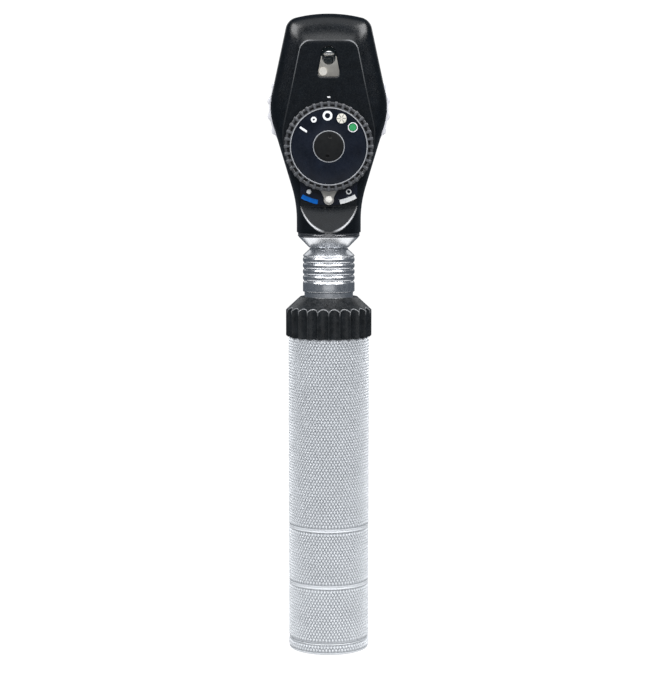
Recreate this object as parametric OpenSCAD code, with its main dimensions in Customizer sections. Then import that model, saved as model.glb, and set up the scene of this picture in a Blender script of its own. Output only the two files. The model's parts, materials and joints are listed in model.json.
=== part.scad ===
// Direct ophthalmoscope: a lens-wheel head with an aperture dial and a filter lever,
// held by a quick-release sleeve on a knurled handle for two C cells.
// The origin is the centre of the bottom face and +Z runs up the handle.
// The patient's side, with the window and the dial, faces -Y.

/* [Handle] */
// Outer diameter of the handle tube
handle_d = 30; // [29.8:0.1:30.4]
// Wall of the handle tube
tube_wall = 1.5; // [1.4:0.1:1.6]
// Height of the top of the handle tube
tube_top = 118.4; // [118:0.1:119]
// Height of the rim of the screw cap
cap_h = 4.2; // [4:0.1:4.6]
// Height of the lower turned groove
groove_low = 25.6; // [22:0.2:30]
// Height of the upper turned groove
groove_high = 47; // [44:0.2:52]
// Pitch of the cap's thread
cap_pitch = 1.5; // [1:0.25:2]

/* [Cells] */
// Diameter of a C cell
cell_d = 26.2; // [25.8:0.1:26.4]
// Length of a C cell with its button
cell_h = 50; // [49.5:0.1:50]

/* [Dimmer collar] */
// Diameter over the ridges of the collar
collar_d = 32; // [31.6:0.1:33]
// Height of the fluted band
flute_h = 10; // [9:0.5:10]
// Number of finger flutes
flutes = 24; // [20:1:28]
// Height of the flat top of the collar
collar_top = 133.35; // [133:0.05:133.5]

/* [Quick release] */
// Diameter of the neck that the collar turns on
neck_d = 18.14; // [18:0.02:18.2]
// Height of the shoulder that the release spring stands on
neck_top = 135.2; // [135:0.1:135.3]
// Diameter over the ribs of the release sleeve
sleeve_d = 19.36; // [19.3:0.02:19.6]
// Height of the top of the release sleeve
sleeve_top = 150.85; // [150.6:0.05:150.9]
// Diameter of the plug under the head
plug_d = 11.8; // [11.6:0.05:11.9]

/* [Head shell] */
// Height of the crown of the head
head_top = 237.9; // [237:0.1:239]
// Width of the head at its shoulders
head_w = 43.2; // [43:0.1:43.6]
// Height of the widest part of the shoulders
shoulder_z = 203.7; // [203.4:0.1:204]
// Diameter of the round foot of the head
foot_d = 23.86; // [23.7:0.02:24]
// Height of the underside of the shell
foot_z = 157.4; // [157.4:0.05:157.5]
// Distance from the axis to the flat front panel
front = 5.5; // [5.4:0.05:5.6]
// Distance from the axis to the back of the shell
back = 11; // [10.8:0.1:11.2]
// Place of the joint between the two shells
split = 3.4; // [3.3:0.05:3.5]
// Wall of the shells
wall = 1.3; // [1.2:0.05:1.3]

/* [Lens wheel] */
// Height of the wheel's axle
wheel_z = 203.1; // [202.9:0.1:203.3]
// Diameter over the teeth of the wheel
wheel_d = 46; // [45.8:0.1:46.2]
// Number of teeth, one for each lens and one for the open hole
wheel_steps = 24; // [24:1:24]
// Height of the sight axis
sight_z = 220.9; // [220.7:0.1:221]
// Diameter of a correction lens
lens_d = 3.76; // [3.4:0.02:3.8]

/* [Aperture dial] */
// Height of the dial's centre
dial_z = 189.1; // [189:0.1:189.2]
// Diameter over the ribs of the dial
dial_d = 33.1; // [33:0.1:33.3]
// Number of ribs round the dial
dial_ribs = 36; // [30:1:40]
// Turn between two apertures
dial_step = 27; // [27:1:27]
// Radius of the circle of printed marks
marks_r = 11.2; // [11:0.1:11.3]

/* [Filter lever] */
// Radius from the dial's centre to the tip of the lever
lever_r = 21.5; // [21.3:0.1:21.6]
// Turn between the open window and a filter
lever_step = 21; // [21:1:21]

/* [Fits] */
// Radial clearance of a running fit
run = 0.05; // [0.03:0.01:0.08]
// Gap between pieces that move past each other
gap = 0.3; // [0.25:0.05:0.3]

/* [Hidden] */

$fn = 64;
tiny = 0.01;
cut = 1; // how far a cutting tool runs past the face it cuts

// Handle
handle_r = handle_d / 2;
bore_r = handle_r - tube_wall;
tube_foot = cap_h + 0.25;
spigot_top = 11.2;
spigot_r = bore_r + 0.3;
thread_r = spigot_r + run;
cell_r = cell_d / 2;
spring_foot = 2.4;
cell_foot = tube_top - 6 - 2 * cell_h;
button_h = 1.5;
cells_top = cell_foot + 2 * cell_h;
flange_top = tube_top + 1;

// Collar, neck and release sleeve
collar_r = collar_d / 2;
collar_foot = tube_top + 0.2;
flute_top = tube_top + flute_h;
cone_top_r = 10.7;
collar_bore = neck_d / 2 + run;
neck_r = neck_d / 2;
spring_neck_r = 7.6;
collet_r = 6.85;
collet_z = 147.5;
neck_end = 151.6;
plug_r = plug_d / 2;
plug_foot = 136.5;
ball_z = 146.5;
ball_r = 0.78;
sleeve_r = sleeve_d / 2;
land_z = 145.3;
recess_z = 147.7;
pin_top = 138.3;
rib_r = 1.1;
rib_z = [140.4, 142.7, 144.95, 147.15];

// Head
base_z = 151.7;
cone_top = 155.8;
base_spigot_r = 8.6;
base_top = 160.4;
trim_r = 11.5;
lean_up = 12.2; // lean of the side above the shoulder
lean_down = -16.8; // lean of the side below the shoulder
shoulder_r = 24;
corner_r = 5;
crown_r = 50.6;
foot_r = foot_d / 2;
ramp_low = 157.8; // where the ramp under the scale plate leaves the foot
ramp_high = 167;
ramp_tilt = atan((foot_r - front) / (ramp_high - ramp_low));
panel_top = 227.8;
panel_lean = 11.5;
panel_corner = 4;
inner_front = front - wall;
top_screw = [13, 229];
low_screw = [8.6, 171];
screw_r = 1;
base_screw_z = 159;
peg = [5, 231.5]; // pegs of the brow rest
dioptre_z = 189.9;
mirror_pin_at = [-2.1, 216.7];
frame_front = 1.9;
frame_back = 2.8;

// Lens wheel
wheel_r = wheel_d / 2;
rim_r = wheel_r - 0.8;
wheel_front = split + 0.45;
wheel_back = wheel_front + 3;
web_front = wheel_front + 0.45;
web_back = wheel_back - 0.55;
lens_ring_r = sight_z - wheel_z;
axle_r = 2;
detent_r = 8;

// Dial and lever
dial_r = dial_d / 2;
dial_front = -10.2;
dial_back = -7.2;
face_r = 14;
face_front = -10;
face_back = -9.5;
cap_r = 5.4;
post_r = 3;
post_front = -9.2;
drum_r = 11.1;
drum_in = 10.2;
drum_half = 68; // half the angle of the drum wall that carries the apertures
drum_end = 2;
hub_r = 9.9;
lever_front = -6.9;
lever_back = -6.1;
arc_out = 12;
arc_half = 33;
plate_out = 21.65;
plate_half_w = 10.5;
sight_r = 2;

// ---------- helpers ----------

// Points of an arc round c, from angle a to angle b
function arc(c, r, a, b, n) =
    [for (i = [0:n]) let (t = a + (b - a) * i / n) c + r * [cos(t), sin(t)]];

function mirrored(points) = [for (i = [len(points) - 1:-1:0]) [-points[i][0], points[i][1]]];

// Stands a flat outline in the XZ plane and gives it depth from y0 to y1
module slab(y0, y1) translate([0, y1, 0]) rotate([90, 0, 0]) linear_extrude(y1 - y0) children();

// A cylinder along Y
module pin_y(r, y0, y1, x = 0, z = 0) translate([x, y1, z]) rotate([90, 0, 0]) cylinder(r = r, h = y1 - y0);

module tube_y(r_out, r_in, y0, y1, x = 0, z = 0) difference() {
    pin_y(r_out, y0, y1, x, z);
    pin_y(r_in, y0 - cut, y1 + cut, x, z);
}

// A straight cylinder and a tube along Z
module post(r, z0, z1) translate([0, 0, z0]) cylinder(r = r, h = z1 - z0);

module pipe(r_out, r_in, z0, z1) difference() {
    post(r_out, z0, z1);
    post(r_in, z0 - cut, z1 + cut);
}

// A wedge of the dial's plane, from angle a to b clockwise from the top, seen from the front
module wedge(a, b, r, y0, y1) translate([0, 0, dial_z]) slab(y0, y1)
    polygon(concat([[0, 0]], [for (i = [0:8]) let (t = a + (b - a) * i / 8) r * [sin(t), cos(t)]]));

// Places children on a circle about the dial's centre, standing outwards
module on_dial(angle, r) translate([0, 0, dial_z]) rotate([0, angle, 0]) translate([0, 0, r]) children();

// A coil spring about Z
function ring_at(c, t, wire, sides) =
    [for (k = [0:sides - 1]) let (a = 360 * k / sides)
        [(c[0] + wire * cos(a)) * cos(t), (c[0] + wire * cos(a)) * sin(t), c[1] + wire * sin(a)]];

module coil(r_low, r_high, wire, z0, z1, turns, sides = 6, steps = 16) {
    count = turns * steps;
    low = z0 + wire;
    high = z1 - wire;
    points = [for (i = [0:count]) let (f = i / count)
        each ring_at([r_low + (r_high - r_low) * f, low + (high - low) * f], 360 * turns * f, wire, sides)];
    sides_faces = [for (i = [0:count - 1]) for (k = [0:sides - 1])
        let (j = (k + 1) % sides, a = i * sides, b = (i + 1) * sides)
        each [[a + k, b + j, a + j], [a + k, b + k, b + j]]];
    ends = [[for (k = [0:sides - 1]) k], [for (k = [sides - 1:-1:0]) count * sides + k]];
    polyhedron(points, concat(sides_faces, ends));
}

// ---------- outlines of the head ----------

shoulder_c = [head_w / 2 - shoulder_r, shoulder_z];
crown_c = [0, head_top - crown_r];
// The corner circle touches the upper side line and the crown from inside
side_off = shoulder_c * [cos(lean_up), sin(lean_up)] + shoulder_r - corner_r;
corner_p = side_off - crown_c[1] * sin(lean_up);
corner_t = sqrt(pow(crown_r - corner_r, 2) - pow(corner_p, 2));
corner_c = crown_c + corner_p * [cos(lean_up), sin(lean_up)] + corner_t * [-sin(lean_up), cos(lean_up)];
corner_end = atan2(corner_c[1] - crown_c[1], corner_c[0]);

module head_outline() {
    half = concat(
        [[11, 165]],
        arc(shoulder_c, shoulder_r, lean_down, lean_up, 6),
        arc(corner_c, corner_r, lean_up + 8, corner_end, 5),
        arc(crown_c, crown_r, corner_end + 3, 88, 3));
    polygon(concat(half, mirrored(half)));
}

panel_c = [6.82, panel_top - panel_corner];

module panel_outline() {
    half = concat(
        [[plate_half_w, ramp_high], [plate_half_w, 175], [16.9, 191.5], [16.9, 194]],
        arc(panel_c, panel_corner, panel_lean, 90, 6));
    polygon(concat(half, mirrored(half)));
}

module window_outline(inset = 0) {
    hull() {
        translate([0, 223]) circle(r = 2.6 - inset, $fn = 32);
        for (x = [-1, 1]) translate([x * 2.65, 216]) circle(r = 1.3 - inset, $fn = 32);
    }
}

module front_outer() hull() {
    slab(-front, tiny - front) panel_outline();
    slab(-2.4, tiny - 2.4) offset(delta = -1.3) head_outline();
    slab(0.5, split) head_outline();
}

module front_inner() hull() {
    slab(-inner_front, tiny - inner_front) offset(delta = -0.9) panel_outline();
    slab(-1.6, tiny - 1.6) offset(delta = -2.9) head_outline();
    slab(0.9, split + cut) offset(delta = -1.4) head_outline();
}

module rear_outer() hull() {
    slab(split, 6.5) head_outline();
    slab(9.4, 9.4 + tiny) offset(delta = -1.5) head_outline();
    slab(back - tiny, back) offset(delta = -4) head_outline();
    intersection() {
        post(foot_r, 163.5, 165);
        translate([-20, split, 160]) cube([40, back - split, 10]);
    }
}

module rear_inner() hull() {
    slab(split - cut, 6.4) offset(delta = -1.4) head_outline();
    slab(8.6, 8.6 + tiny) offset(delta = -2.9) head_outline();
    slab(back - wall - tiny, back - wall) offset(delta = -5.2) head_outline();
}

// The round foot, with its front cut back to the ramp
module foot_solid() difference() {
    post(foot_r, foot_z, 168);
    translate([0, -foot_r, ramp_low]) rotate([-ramp_tilt, 0, 0]) translate([-20, -20, -15]) cube([40, 20, 40]);
}

module foot_bore() {
    post(base_spigot_r + run, foot_z - cut, base_top + run);
    post(4.3, foot_z, 170);
}

// ---------- handle ----------

module handle_tube() color("#c3c6c9") difference() {
    post(handle_r, tube_foot, tube_top);
    post(bore_r, tube_foot - cut, tube_top + cut);
    post(thread_r, tube_foot - cut, spigot_top + 0.4);
    for (z = [groove_low, groove_high]) rotate_extrude()
        polygon([[handle_r + 0.2, z - 0.7], [handle_r - 0.5, z], [handle_r + 0.2, z + 0.7]]);
}

module bottom_cap() color("#b9bcbf") difference() {
    rotate_extrude() polygon([
        [0, 0], [handle_r - 1, 0], [handle_r - 0.3, 0.3], [handle_r, 1], [handle_r, cap_h],
        [spigot_r, cap_h], [spigot_r, cap_h + 1], [spigot_r - 0.9, cap_h + 1],
        [spigot_r - 0.9, cap_h + 2.1], [spigot_r, cap_h + 2.1], [spigot_r, spigot_top], [0, spigot_top]
    ]);
    post(spigot_r - 2, spring_foot - 0.3, spigot_top + cut);
    // coin slot across the underside
    translate([-9, -0.8, -cut]) cube([18, 1.6, cut + 1]);
}

module cap_o_ring() color("#1a1a1a") translate([0, 0, cap_h + 1.55])
    rotate_extrude() translate([spigot_r - 0.42, 0]) circle(r = 0.45, $fn = 24);

module battery_spring() color("#c9b27a") coil(10.5, 6, 0.5, spring_foot, cell_foot - 0.1, 4, 6, 20);

module battery_cell(z) {
    post(cell_r, z, z + cell_h - button_h);
    post(3.2, z + cell_h - button_h - tiny, z + cell_h);
}

module battery_lower() color("#3d5a80") battery_cell(cell_foot);
module battery_upper() color("#3d5a80") battery_cell(cell_foot + cell_h);

module neck_tube() color("#d0d3d6") difference() {
    union() {
        post(bore_r - run, tube_top - 5, tube_top);
        post(bore_r + 0.6, tube_top, flange_top);
        post(neck_r, flange_top, neck_top);
        post(spring_neck_r, neck_top, collet_z);
        post(collet_r, collet_z, neck_end);
    }
    post(7.5, tube_top - 5 - cut, 130);
    post(plug_r + run, 129, neck_end + cut);
    for (a = [0:120:240]) rotate([0, 0, a + 90]) translate([0, 0, ball_z])
        rotate([0, 90, 0]) cylinder(r = ball_r + 0.02, h = 10);
    pipe(collet_r + cut, collet_r - 0.4, neck_end - 0.7, neck_end - 0.25);
}

module retaining_ring() color("#e3e5e8") difference() {
    post(7.2, neck_end - 0.65, neck_end - 0.3);
    post(collet_r - 0.38, neck_end - 1, neck_end);
    translate([-0.5, 0, neck_end - 1]) cube([1, 9, 1]);
}

module lock_balls() color("#d8dadd") for (a = [0:120:240]) rotate([0, 0, a + 90])
    translate([6.78, 0, ball_z]) sphere(r = ball_r);

module lock_spring() color("#9b9ea1") coil(8, 8, 0.22, neck_top, land_z, 6, 6, 20);

module contact_carrier() color("#26282b") difference() {
    post(7.45, 114.4, 129.6);
    post(2, 118, 126 + cut);
    post(1.3, 120, 130 + cut);
    post(1.5, 114, 118 + cut);
}

module top_contact() color("#c9a24a") {
    post(3.5, cells_top + 0.1, 114.3);
    post(1.45, 114.3 - tiny, 117.8);
}

module pin_spring() color("#9b9ea1") coil(1.65, 1.65, 0.18, 118, 123.5, 6, 6, 12);

module contact_pin() color("#d9b55c") {
    post(1.2, 119, pin_top - 0.4);
    post(0.8, pin_top - 0.4 - tiny, pin_top);
    post(1.9, 123.55, 124.8);
}

module rheostat_board() color("#2f6b3f") pipe(13.6, neck_r + 0.2, flange_top + tiny, flange_top + 1.2);

// ---------- dimmer collar and release sleeve ----------

module dimmer_ring() color("#202225") difference() {
    rotate_extrude() polygon([
        [14.5, collar_foot], [collar_r, collar_foot], [collar_r, flute_top], [cone_top_r, collar_top],
        [collar_bore, collar_top], [collar_bore, collar_top - 3.6], [14.5, 126]
    ]);
    for (i = [0:flutes - 1]) rotate([0, 0, (i + 0.5) * 360 / flutes])
        translate([collar_r + 1.3, 0, collar_foot - cut]) cylinder(r = 2.4, h = 16);
}

module dimmer_wiper() color("#c9a24a") {
    pipe(14.3, 10, 125, 125.4);
    for (s = [-1, 1]) translate([s * 11.6 - 0.9, -0.9, flange_top + 1.5]) cube([1.8, 1.8, 4.2]);
}

module lock_sleeve() color("#d5d8db") rotate_extrude() {
    polygon([
        [neck_r + run, neck_top], [sleeve_r, neck_top + 0.2], [sleeve_r, 138.9],
        [9.2, 139.2], [9.2, 148.1], [9.35, 148.3], [sleeve_r, 148.7], [7.45, sleeve_top],
        [collet_r + run, sleeve_top], [collet_r + run, recess_z + 1.6], [8.15, recess_z + 1.6],
        [8.15, recess_z], [7.66, recess_z], [7.66, land_z], [8.4, land_z],
        [8.4, 137.2], [neck_r + run, 137.2]
    ]);
    for (z = rib_z) intersection() {
        translate([sleeve_r - rib_r, z]) circle(r = rib_r, $fn = 32);
        translate([9, z - 2]) square([2, 4]);
    }
}

// ---------- foot of the head ----------

module head_plug() color("#cfd2d5") rotate_extrude() polygon([
    [4.4, plug_foot], [plug_r - 0.5, plug_foot], [plug_r, plug_foot + 0.5],
    [plug_r, ball_z - 1], [plug_r - 0.5, ball_z - 0.5], [plug_r - 0.5, ball_z + 0.5], [plug_r, ball_z + 1],
    [plug_r, 153.8], [4.4, 153.8]
]);

module plug_insulator() color("#26282b") difference() {
    post(4.38, pin_top + 0.2, 153.7);
    post(1.25, pin_top - cut, 154);
    post(2.2, pin_top - cut, pin_top + 1.2);
}

module head_contact() color("#d9b55c") {
    post(2.1, pin_top + 0.08, pin_top + 1.1);
    post(1.2, pin_top + 1, 154.2);
}

module head_base() color("#c4c7ca") difference() {
    rotate_extrude() polygon([
        [plug_r, base_z], [7.37, base_z], [11.4, cone_top], [9.8, cone_top],
        [9.8, foot_z - 0.05], [base_spigot_r, foot_z - 0.05], [base_spigot_r, base_top], [6.4, base_top],
        [6.4, 153.9], [plug_r, 153.9]
    ]);
    translate([0, 0, base_screw_z]) rotate([-90, 0, 0]) cylinder(r = 0.8, h = 12);
}

module trim_ring() color("#3a3d42") rotate_extrude() polygon([
    [9.85, cone_top + 0.1], [trim_r - 0.3, cone_top + 0.1], [trim_r, cone_top + 0.4],
    [trim_r, foot_z - 0.4], [trim_r - 0.3, foot_z - 0.1], [9.85, foot_z - 0.1]
]);

module base_screw() color("#505358") translate([0, 0, base_screw_z]) rotate([-90, 0, 0]) difference() {
    translate([0, 0, 7]) cylinder(r = 0.78, h = 4.4);
    translate([0, 0, 10.4]) cylinder(r = 0.45, h = 2, $fn = 6);
}

module led_board() color("#e8e8e0") pipe(6.3, 1.3, 154.3, 155.3);

module led_lamp() color("#f5e9a0") {
    post(1.7, 155.35, 156);
    translate([0, 0, 156]) difference() {
        sphere(r = 1.4, $fn = 32);
        translate([-2, -2, -3]) cube([4, 4, 3]);
    }
}

module light_tube() color("#2b2d30") difference() {
    union() {
        post(6.3, 155.4, base_top - 0.4);
        post(4.1, base_top - 1, 177.2);
    }
    post(5.2, 155, 159);
    post(2.6, 158, 166);
    post(3.6, 165.5, 178.2);
}

module condenser_lens() color("#dff3ff", 0.5) translate([0, 0, 165.6]) intersection() {
    cylinder(r = 3.55, h = 3);
    translate([0, 0, -3.2]) sphere(r = 6.1);
}

// ---------- shells ----------

module front_shell() color("#17181b") difference() {
    union() {
        difference() {
            union() {
                front_outer();
                foot_solid();
            }
            front_inner();
            translate([-30, split, 150]) cube([60, 40, 100]);
            pin_y(arc_out + 2 * run, -front - cut, -inner_front + cut, 0, dial_z);
            slab(-front - cut, -inner_front + cut) window_outline();
        }
        // hub and post for the dial, held by a web below the drum's sweep
        pin_y(hub_r, -front, -inner_front, 0, dial_z);
        pin_y(post_r, post_front, -front + tiny, 0, dial_z);
        translate([-5, -front, dial_z - arc_out - 0.8]) cube([10, wall, 6]);
        pin_y(1.8, -front + tiny, -1.4, detent_r - 1, dial_z);
        for (s = [-1, 1]) {
            pin_y(2, -2.6, frame_front, s * top_screw[0], top_screw[1]);
            pin_y(2, -4.4, split, s * low_screw[0], low_screw[1]);
        }
    }
    foot_bore();
    pin_y(1.5 + run, post_front - cut, -front + 2, 0, dial_z);
    pin_y(0.88, -front - cut, -2.4, detent_r - 1, dial_z);
    for (s = [-1, 1]) {
        pin_y(screw_r - 0.2, 0, split + cut, s * top_screw[0], top_screw[1]);
        pin_y(screw_r - 0.2, -0.5, split + cut, s * low_screw[0], low_screw[1]);
    }
}

module rear_shell() color("#17181b") difference() {
    union() {
        difference() {
            union() {
                rear_outer();
                foot_solid();
            }
            rear_inner();
            translate([-30, -40 + split, 150]) cube([60, 40, 100]);
            // room for the wheel, which opens the slots in both sides
            pin_y(wheel_r + 0.4, split - cut, wheel_back + 0.4, 0, wheel_z);
        }
        pin_y(4.2, wheel_back + 0.3, back - tiny, 0, wheel_z);
        pin_y(1.9, wheel_back + 0.3, back - tiny, detent_r, wheel_z);
        pin_y(4.6, back - 1.6, back - tiny, 0, dioptre_z);
        for (s = [-1, 1]) {
            pin_y(2, frame_back, back - 1.8, s * top_screw[0], top_screw[1]);
            pin_y(2, split, back - 1.2, s * low_screw[0], low_screw[1]);
        }
    }
    foot_bore();
    pin_y(axle_r, wheel_back, back - 1.2, 0, wheel_z);
    pin_y(0.88, wheel_back, back - 1.2, detent_r, wheel_z);
    pin_y(5, wheel_back + 0.3, back + cut, 0, sight_z);
    pin_y(3.4, 9.8, back + cut, 0, dioptre_z);
    pin_y(2.8, 8, back, 0, dioptre_z);
    for (s = [-1, 1]) {
        pin_y(1.5, 9, back + cut, s * peg[0], peg[1]);
        pin_y(screw_r + 0.05, 2, back + 2, s * top_screw[0], top_screw[1]);
        pin_y(1.9, 8, back + 2, s * top_screw[0], top_screw[1]);
        pin_y(screw_r + 0.05, 2, back + 2, s * low_screw[0], low_screw[1]);
        pin_y(1.9, 8.6, back + 2, s * low_screw[0], low_screw[1]);
    }
    translate([0, 0, base_screw_z]) rotate([-90, 0, 0]) cylinder(r = 0.8, h = 14);
}

module shell_screw(head_y) difference() {
    union() {
        pin_y(1.8, head_y, head_y + 1.1);
        pin_y(0.78, head_y - 7, head_y + tiny);
    }
    for (a = [0, 90]) rotate([0, a, 0]) translate([-1.1, head_y + 0.6, -0.22]) cube([2.2, 1, 0.44]);
}

module shell_screws() color("#8d9094") for (s = [-1, 1]) {
    translate([s * top_screw[0], 0, top_screw[1]]) shell_screw(8.02);
    translate([s * low_screw[0], 0, low_screw[1]]) shell_screw(8.62);
}

module eyepiece_ring() color("#2a2c30") translate([0, 0, sight_z]) difference() {
    union() {
        pin_y(5, wheel_back + 0.5, back + 0.5);
        pin_y(6, back + 0.02, back + 1.1);
    }
    pin_y(sight_r + 0.2, 0, 20);
    translate([0, back - 1.5, 0]) rotate([-90, 0, 0]) cylinder(r1 = sight_r, r2 = 4.6, h = 3);
}

module dioptre_window() color("#e6f4ff", 0.4) pin_y(3.38, 9.82, 11.1, 0, dioptre_z);

module brow_rest() color("#1c1c1e") {
    difference() {
        hull() for (s = [-1, 1]) {
            translate([s * 6.8, 11.2, 231.6]) sphere(r = 3.6, $fn = 28);
            translate([s * 3.5, 10.6, 233.4]) sphere(r = 3.2, $fn = 28);
        }
        rear_outer();
        slab(0, back + 0.02) square([60, 600], center = true);
    }
    for (s = [-1, 1]) pin_y(1.48, 9.2, back + 0.6, s * peg[0], peg[1]);
}

module front_window() color("#dff3ff", 0.3) slab(-front + 0.2, -front + 0.6) window_outline(0.05);

// ---------- optics in the head ----------

module optics_frame() color("#101113") difference() {
    union() {
        slab(frame_front, frame_back) hull() for (s = [-1, 1])
            translate([s * top_screw[0], top_screw[1]]) circle(r = 2, $fn = 32);
        translate([-5, frame_front, 202.4]) cube([10, frame_back - frame_front, 26.6]);
        translate([-3.9, -3.9, 203]) cube([7.8, frame_back + 3.9, 9.6]);
        for (s = [-1, 1]) translate([s * 4.5 - 0.5, -4, 203]) cube([1, frame_back + 4, 22.9]);
        translate([-5, -4, 225.9]) cube([10, frame_back + 4, 0.8]);
    }
    post(2.9, 200, 212.6 + tiny);
    pin_y(sight_r + 0.3, 0, 5, 0, sight_z);
    pin_y(1.46, 0, 5, mirror_pin_at[0], mirror_pin_at[1]);
    for (s = [-1, 1]) pin_y(screw_r + 0.05, 0, 5, s * top_screw[0], top_screw[1]);
}

module projector_tube() color("#3a3c40") pipe(2.9, 2.4, 202.6, 212.4);

module projector_lens() color("#dff3ff", 0.5) translate([0, 0, 206]) intersection() {
    cylinder(r = 2.38, h = 2, center = true);
    translate([0, 0, -3.6]) sphere(r = 4.6);
    translate([0, 0, 3.6]) sphere(r = 4.6);
}

module deflecting_mirror() color("#e9e9e4") {
    tilt = 50;
    low = [1.25, 214.8];
    reach = 5;
    difference() {
        translate([-3.85, low[0], low[1]]) rotate([180 - tilt, 0, 0])
            translate([0, 0, -0.7]) cube([7.7, reach / cos(tilt), 0.7]);
        pin_y(2.1, -10, 10, 0, sight_z + 0.2);
        pin_y(1.5, -10, 10, mirror_pin_at[0], mirror_pin_at[1]);
    }
}

module mirror_pin() color("#f2f2ee") pin_y(1.45, -1.7, frame_back, mirror_pin_at[0], mirror_pin_at[1]);

module wheel_axle() color("#c8cacd") translate([0, 0, wheel_z]) {
    pin_y(axle_r, wheel_front - 0.1, back - 1.3);
    pin_y(3.2, wheel_front - 0.75, wheel_front - 0.1 + tiny);
}

// ---------- lens wheel ----------

// Outline of the wheel: round-topped teeth with wide shallow gaps between them
tooth_profile = [[-0.5, 0], [-0.32, 0], [-0.2, 0.3], [-0.1, 0.85], [0, 1], [0.1, 0.85], [0.2, 0.3], [0.32, 0]];

module wheel_outline() polygon([for (i = [0:wheel_steps - 1]) for (p = tooth_profile)
    let (t = (i + 0.5 + p[0]) * 360 / wheel_steps, r = rim_r + p[1] * (wheel_r - rim_r))
    r * [sin(t), cos(t)]]);

module lens_wheel() color("#e9ebe6") translate([0, 0, wheel_z]) difference() {
    slab(wheel_front, wheel_back) wheel_outline();
    // the web is thinner than the rim and the hub
    tube_y(20.6, 10, wheel_front - cut, web_front);
    tube_y(20.6, 10, web_back, wheel_back + cut);
    pin_y(axle_r + run, 0, 12);
    for (i = [0:wheel_steps - 1]) rotate([0, i * 360 / wheel_steps, 0]) {
        pin_y(lens_d / 2 + 0.02, 0, 12, 0, lens_ring_r);
        translate([detent_r, wheel_back + 0.45, 0]) sphere(r = 0.8, $fn = 24);
    }
}

module correction_lenses() color("#dff3ff", 0.5) translate([0, 0, wheel_z])
    // one of the places stays open
    for (i = [0:wheel_steps - 2]) rotate([0, i * 360 / wheel_steps, 0])
        translate([0, 0, lens_ring_r]) pin_y(lens_d / 2, web_front + 0.3, web_back - 0.3);

// ---------- detents ----------

module detent_balls() color("#d8dadd") {
    translate([detent_r, wheel_back + 0.85, wheel_z]) sphere(r = 0.8);
    translate([detent_r - 1, dial_back + 0.85, dial_z]) sphere(r = 0.8);
}

module detent_springs() color("#9b9ea1") {
    translate([detent_r, 0, wheel_z]) rotate([-90, 0, 0])
        coil(0.6, 0.6, 0.13, wheel_back + 1.7, back - 1.25, 4, 6, 12);
    translate([detent_r - 1, 0, dial_z]) rotate([-90, 0, 0]) coil(0.6, 0.6, 0.13, -5.4, -2.45, 5, 6, 12);
}

// ---------- aperture dial ----------

module aperture_dial() color("#1b1c20") difference() {
    union() {
        pin_y(dial_r, dial_front, dial_back, 0, dial_z);
        pin_y(drum_r, dial_back - tiny, -front - gap, 0, dial_z);
        intersection() {
            pin_y(drum_r, -front - gap - tiny, drum_end, 0, dial_z);
            wedge(-drum_half, drum_half, 30, -front - 1, drum_end + 1);
        }
    }
    pin_y(drum_in, dial_back, drum_end + cut, 0, dial_z);
    pin_y(face_r - 0.05, dial_front - cut, face_back, 0, dial_z);
    pin_y(cap_r + 0.1, dial_front - cut, post_front, 0, dial_z);
    pin_y(post_r + run, dial_front - cut, 0, 0, dial_z);
    // the five apertures: slit, small, large, red-free and star
    on_dial(-2 * dial_step, drum_in - cut) translate([-0.18, -1.5, 0]) cube([0.36, 3, 3]);
    on_dial(-dial_step, drum_in - cut) cylinder(r = 0.6, h = 3);
    on_dial(0, drum_in - cut) cylinder(r = 1.6, h = 3);
    for (a = [dial_step, 2 * dial_step]) on_dial(a, drum_in - cut) {
        cylinder(r = 1.4, h = 3);
        cylinder(r = 1.7, h = cut + 0.58);
    }
    for (i = [0:dial_ribs - 1]) translate([0, 0, dial_z]) rotate([0, (i + 0.5) * 360 / dial_ribs, 0])
        translate([0, 0, dial_r + 0.35]) pin_y(0.75, dial_front - cut, dial_back + cut);
}

module dial_face() color("#141821") tube_y(face_r - 0.1, cap_r + 0.1, face_front, face_back, 0, dial_z);

module mark_ring(angle, r_out, r_in) on_dial(angle, marks_r) tube_y(r_out, r_in, face_front - 0.08, face_front);

module dial_marks() color("#f4f4f2") {
    on_dial(-2 * dial_step, marks_r) translate([-0.4, face_front - 0.08, -1.5]) cube([0.8, 0.08, 3]);
    mark_ring(-dial_step, 1.02, 0.4);
    mark_ring(0, 1.73, 1.05);
    mark_ring(dial_step, 1.8, 1.35);
    on_dial(dial_step, marks_r) for (a = [45, 135]) rotate([0, a, 0])
        translate([-1.5, face_front - 0.08, -0.15]) cube([3, 0.08, 0.3]);
    on_dial(2 * dial_step, marks_r) pin_y(1.5, face_front - 0.08, face_front);
}

module redfree_filter() color("#2ea05a") on_dial(2 * dial_step, drum_in + 0.15) cylinder(r = 1.68, h = 0.4);
module star_graticule() color("#dfe9ee", 0.6) on_dial(dial_step, drum_in + 0.15) cylinder(r = 1.68, h = 0.4);

module dial_cap() color("#1e1f22") translate([0, 0, dial_z]) difference() {
    union() {
        pin_y(cap_r, dial_front - 0.15, post_front - 0.05);
        pin_y(1.5, post_front - 0.06, -front + 1.5);
    }
    for (s = [-1, 1]) rotate([0, -7.3, 0]) translate([0, 0, s * 3.57]) pin_y(0.55, -12, post_front - 0.4);
}

// ---------- filter lever ----------

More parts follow.
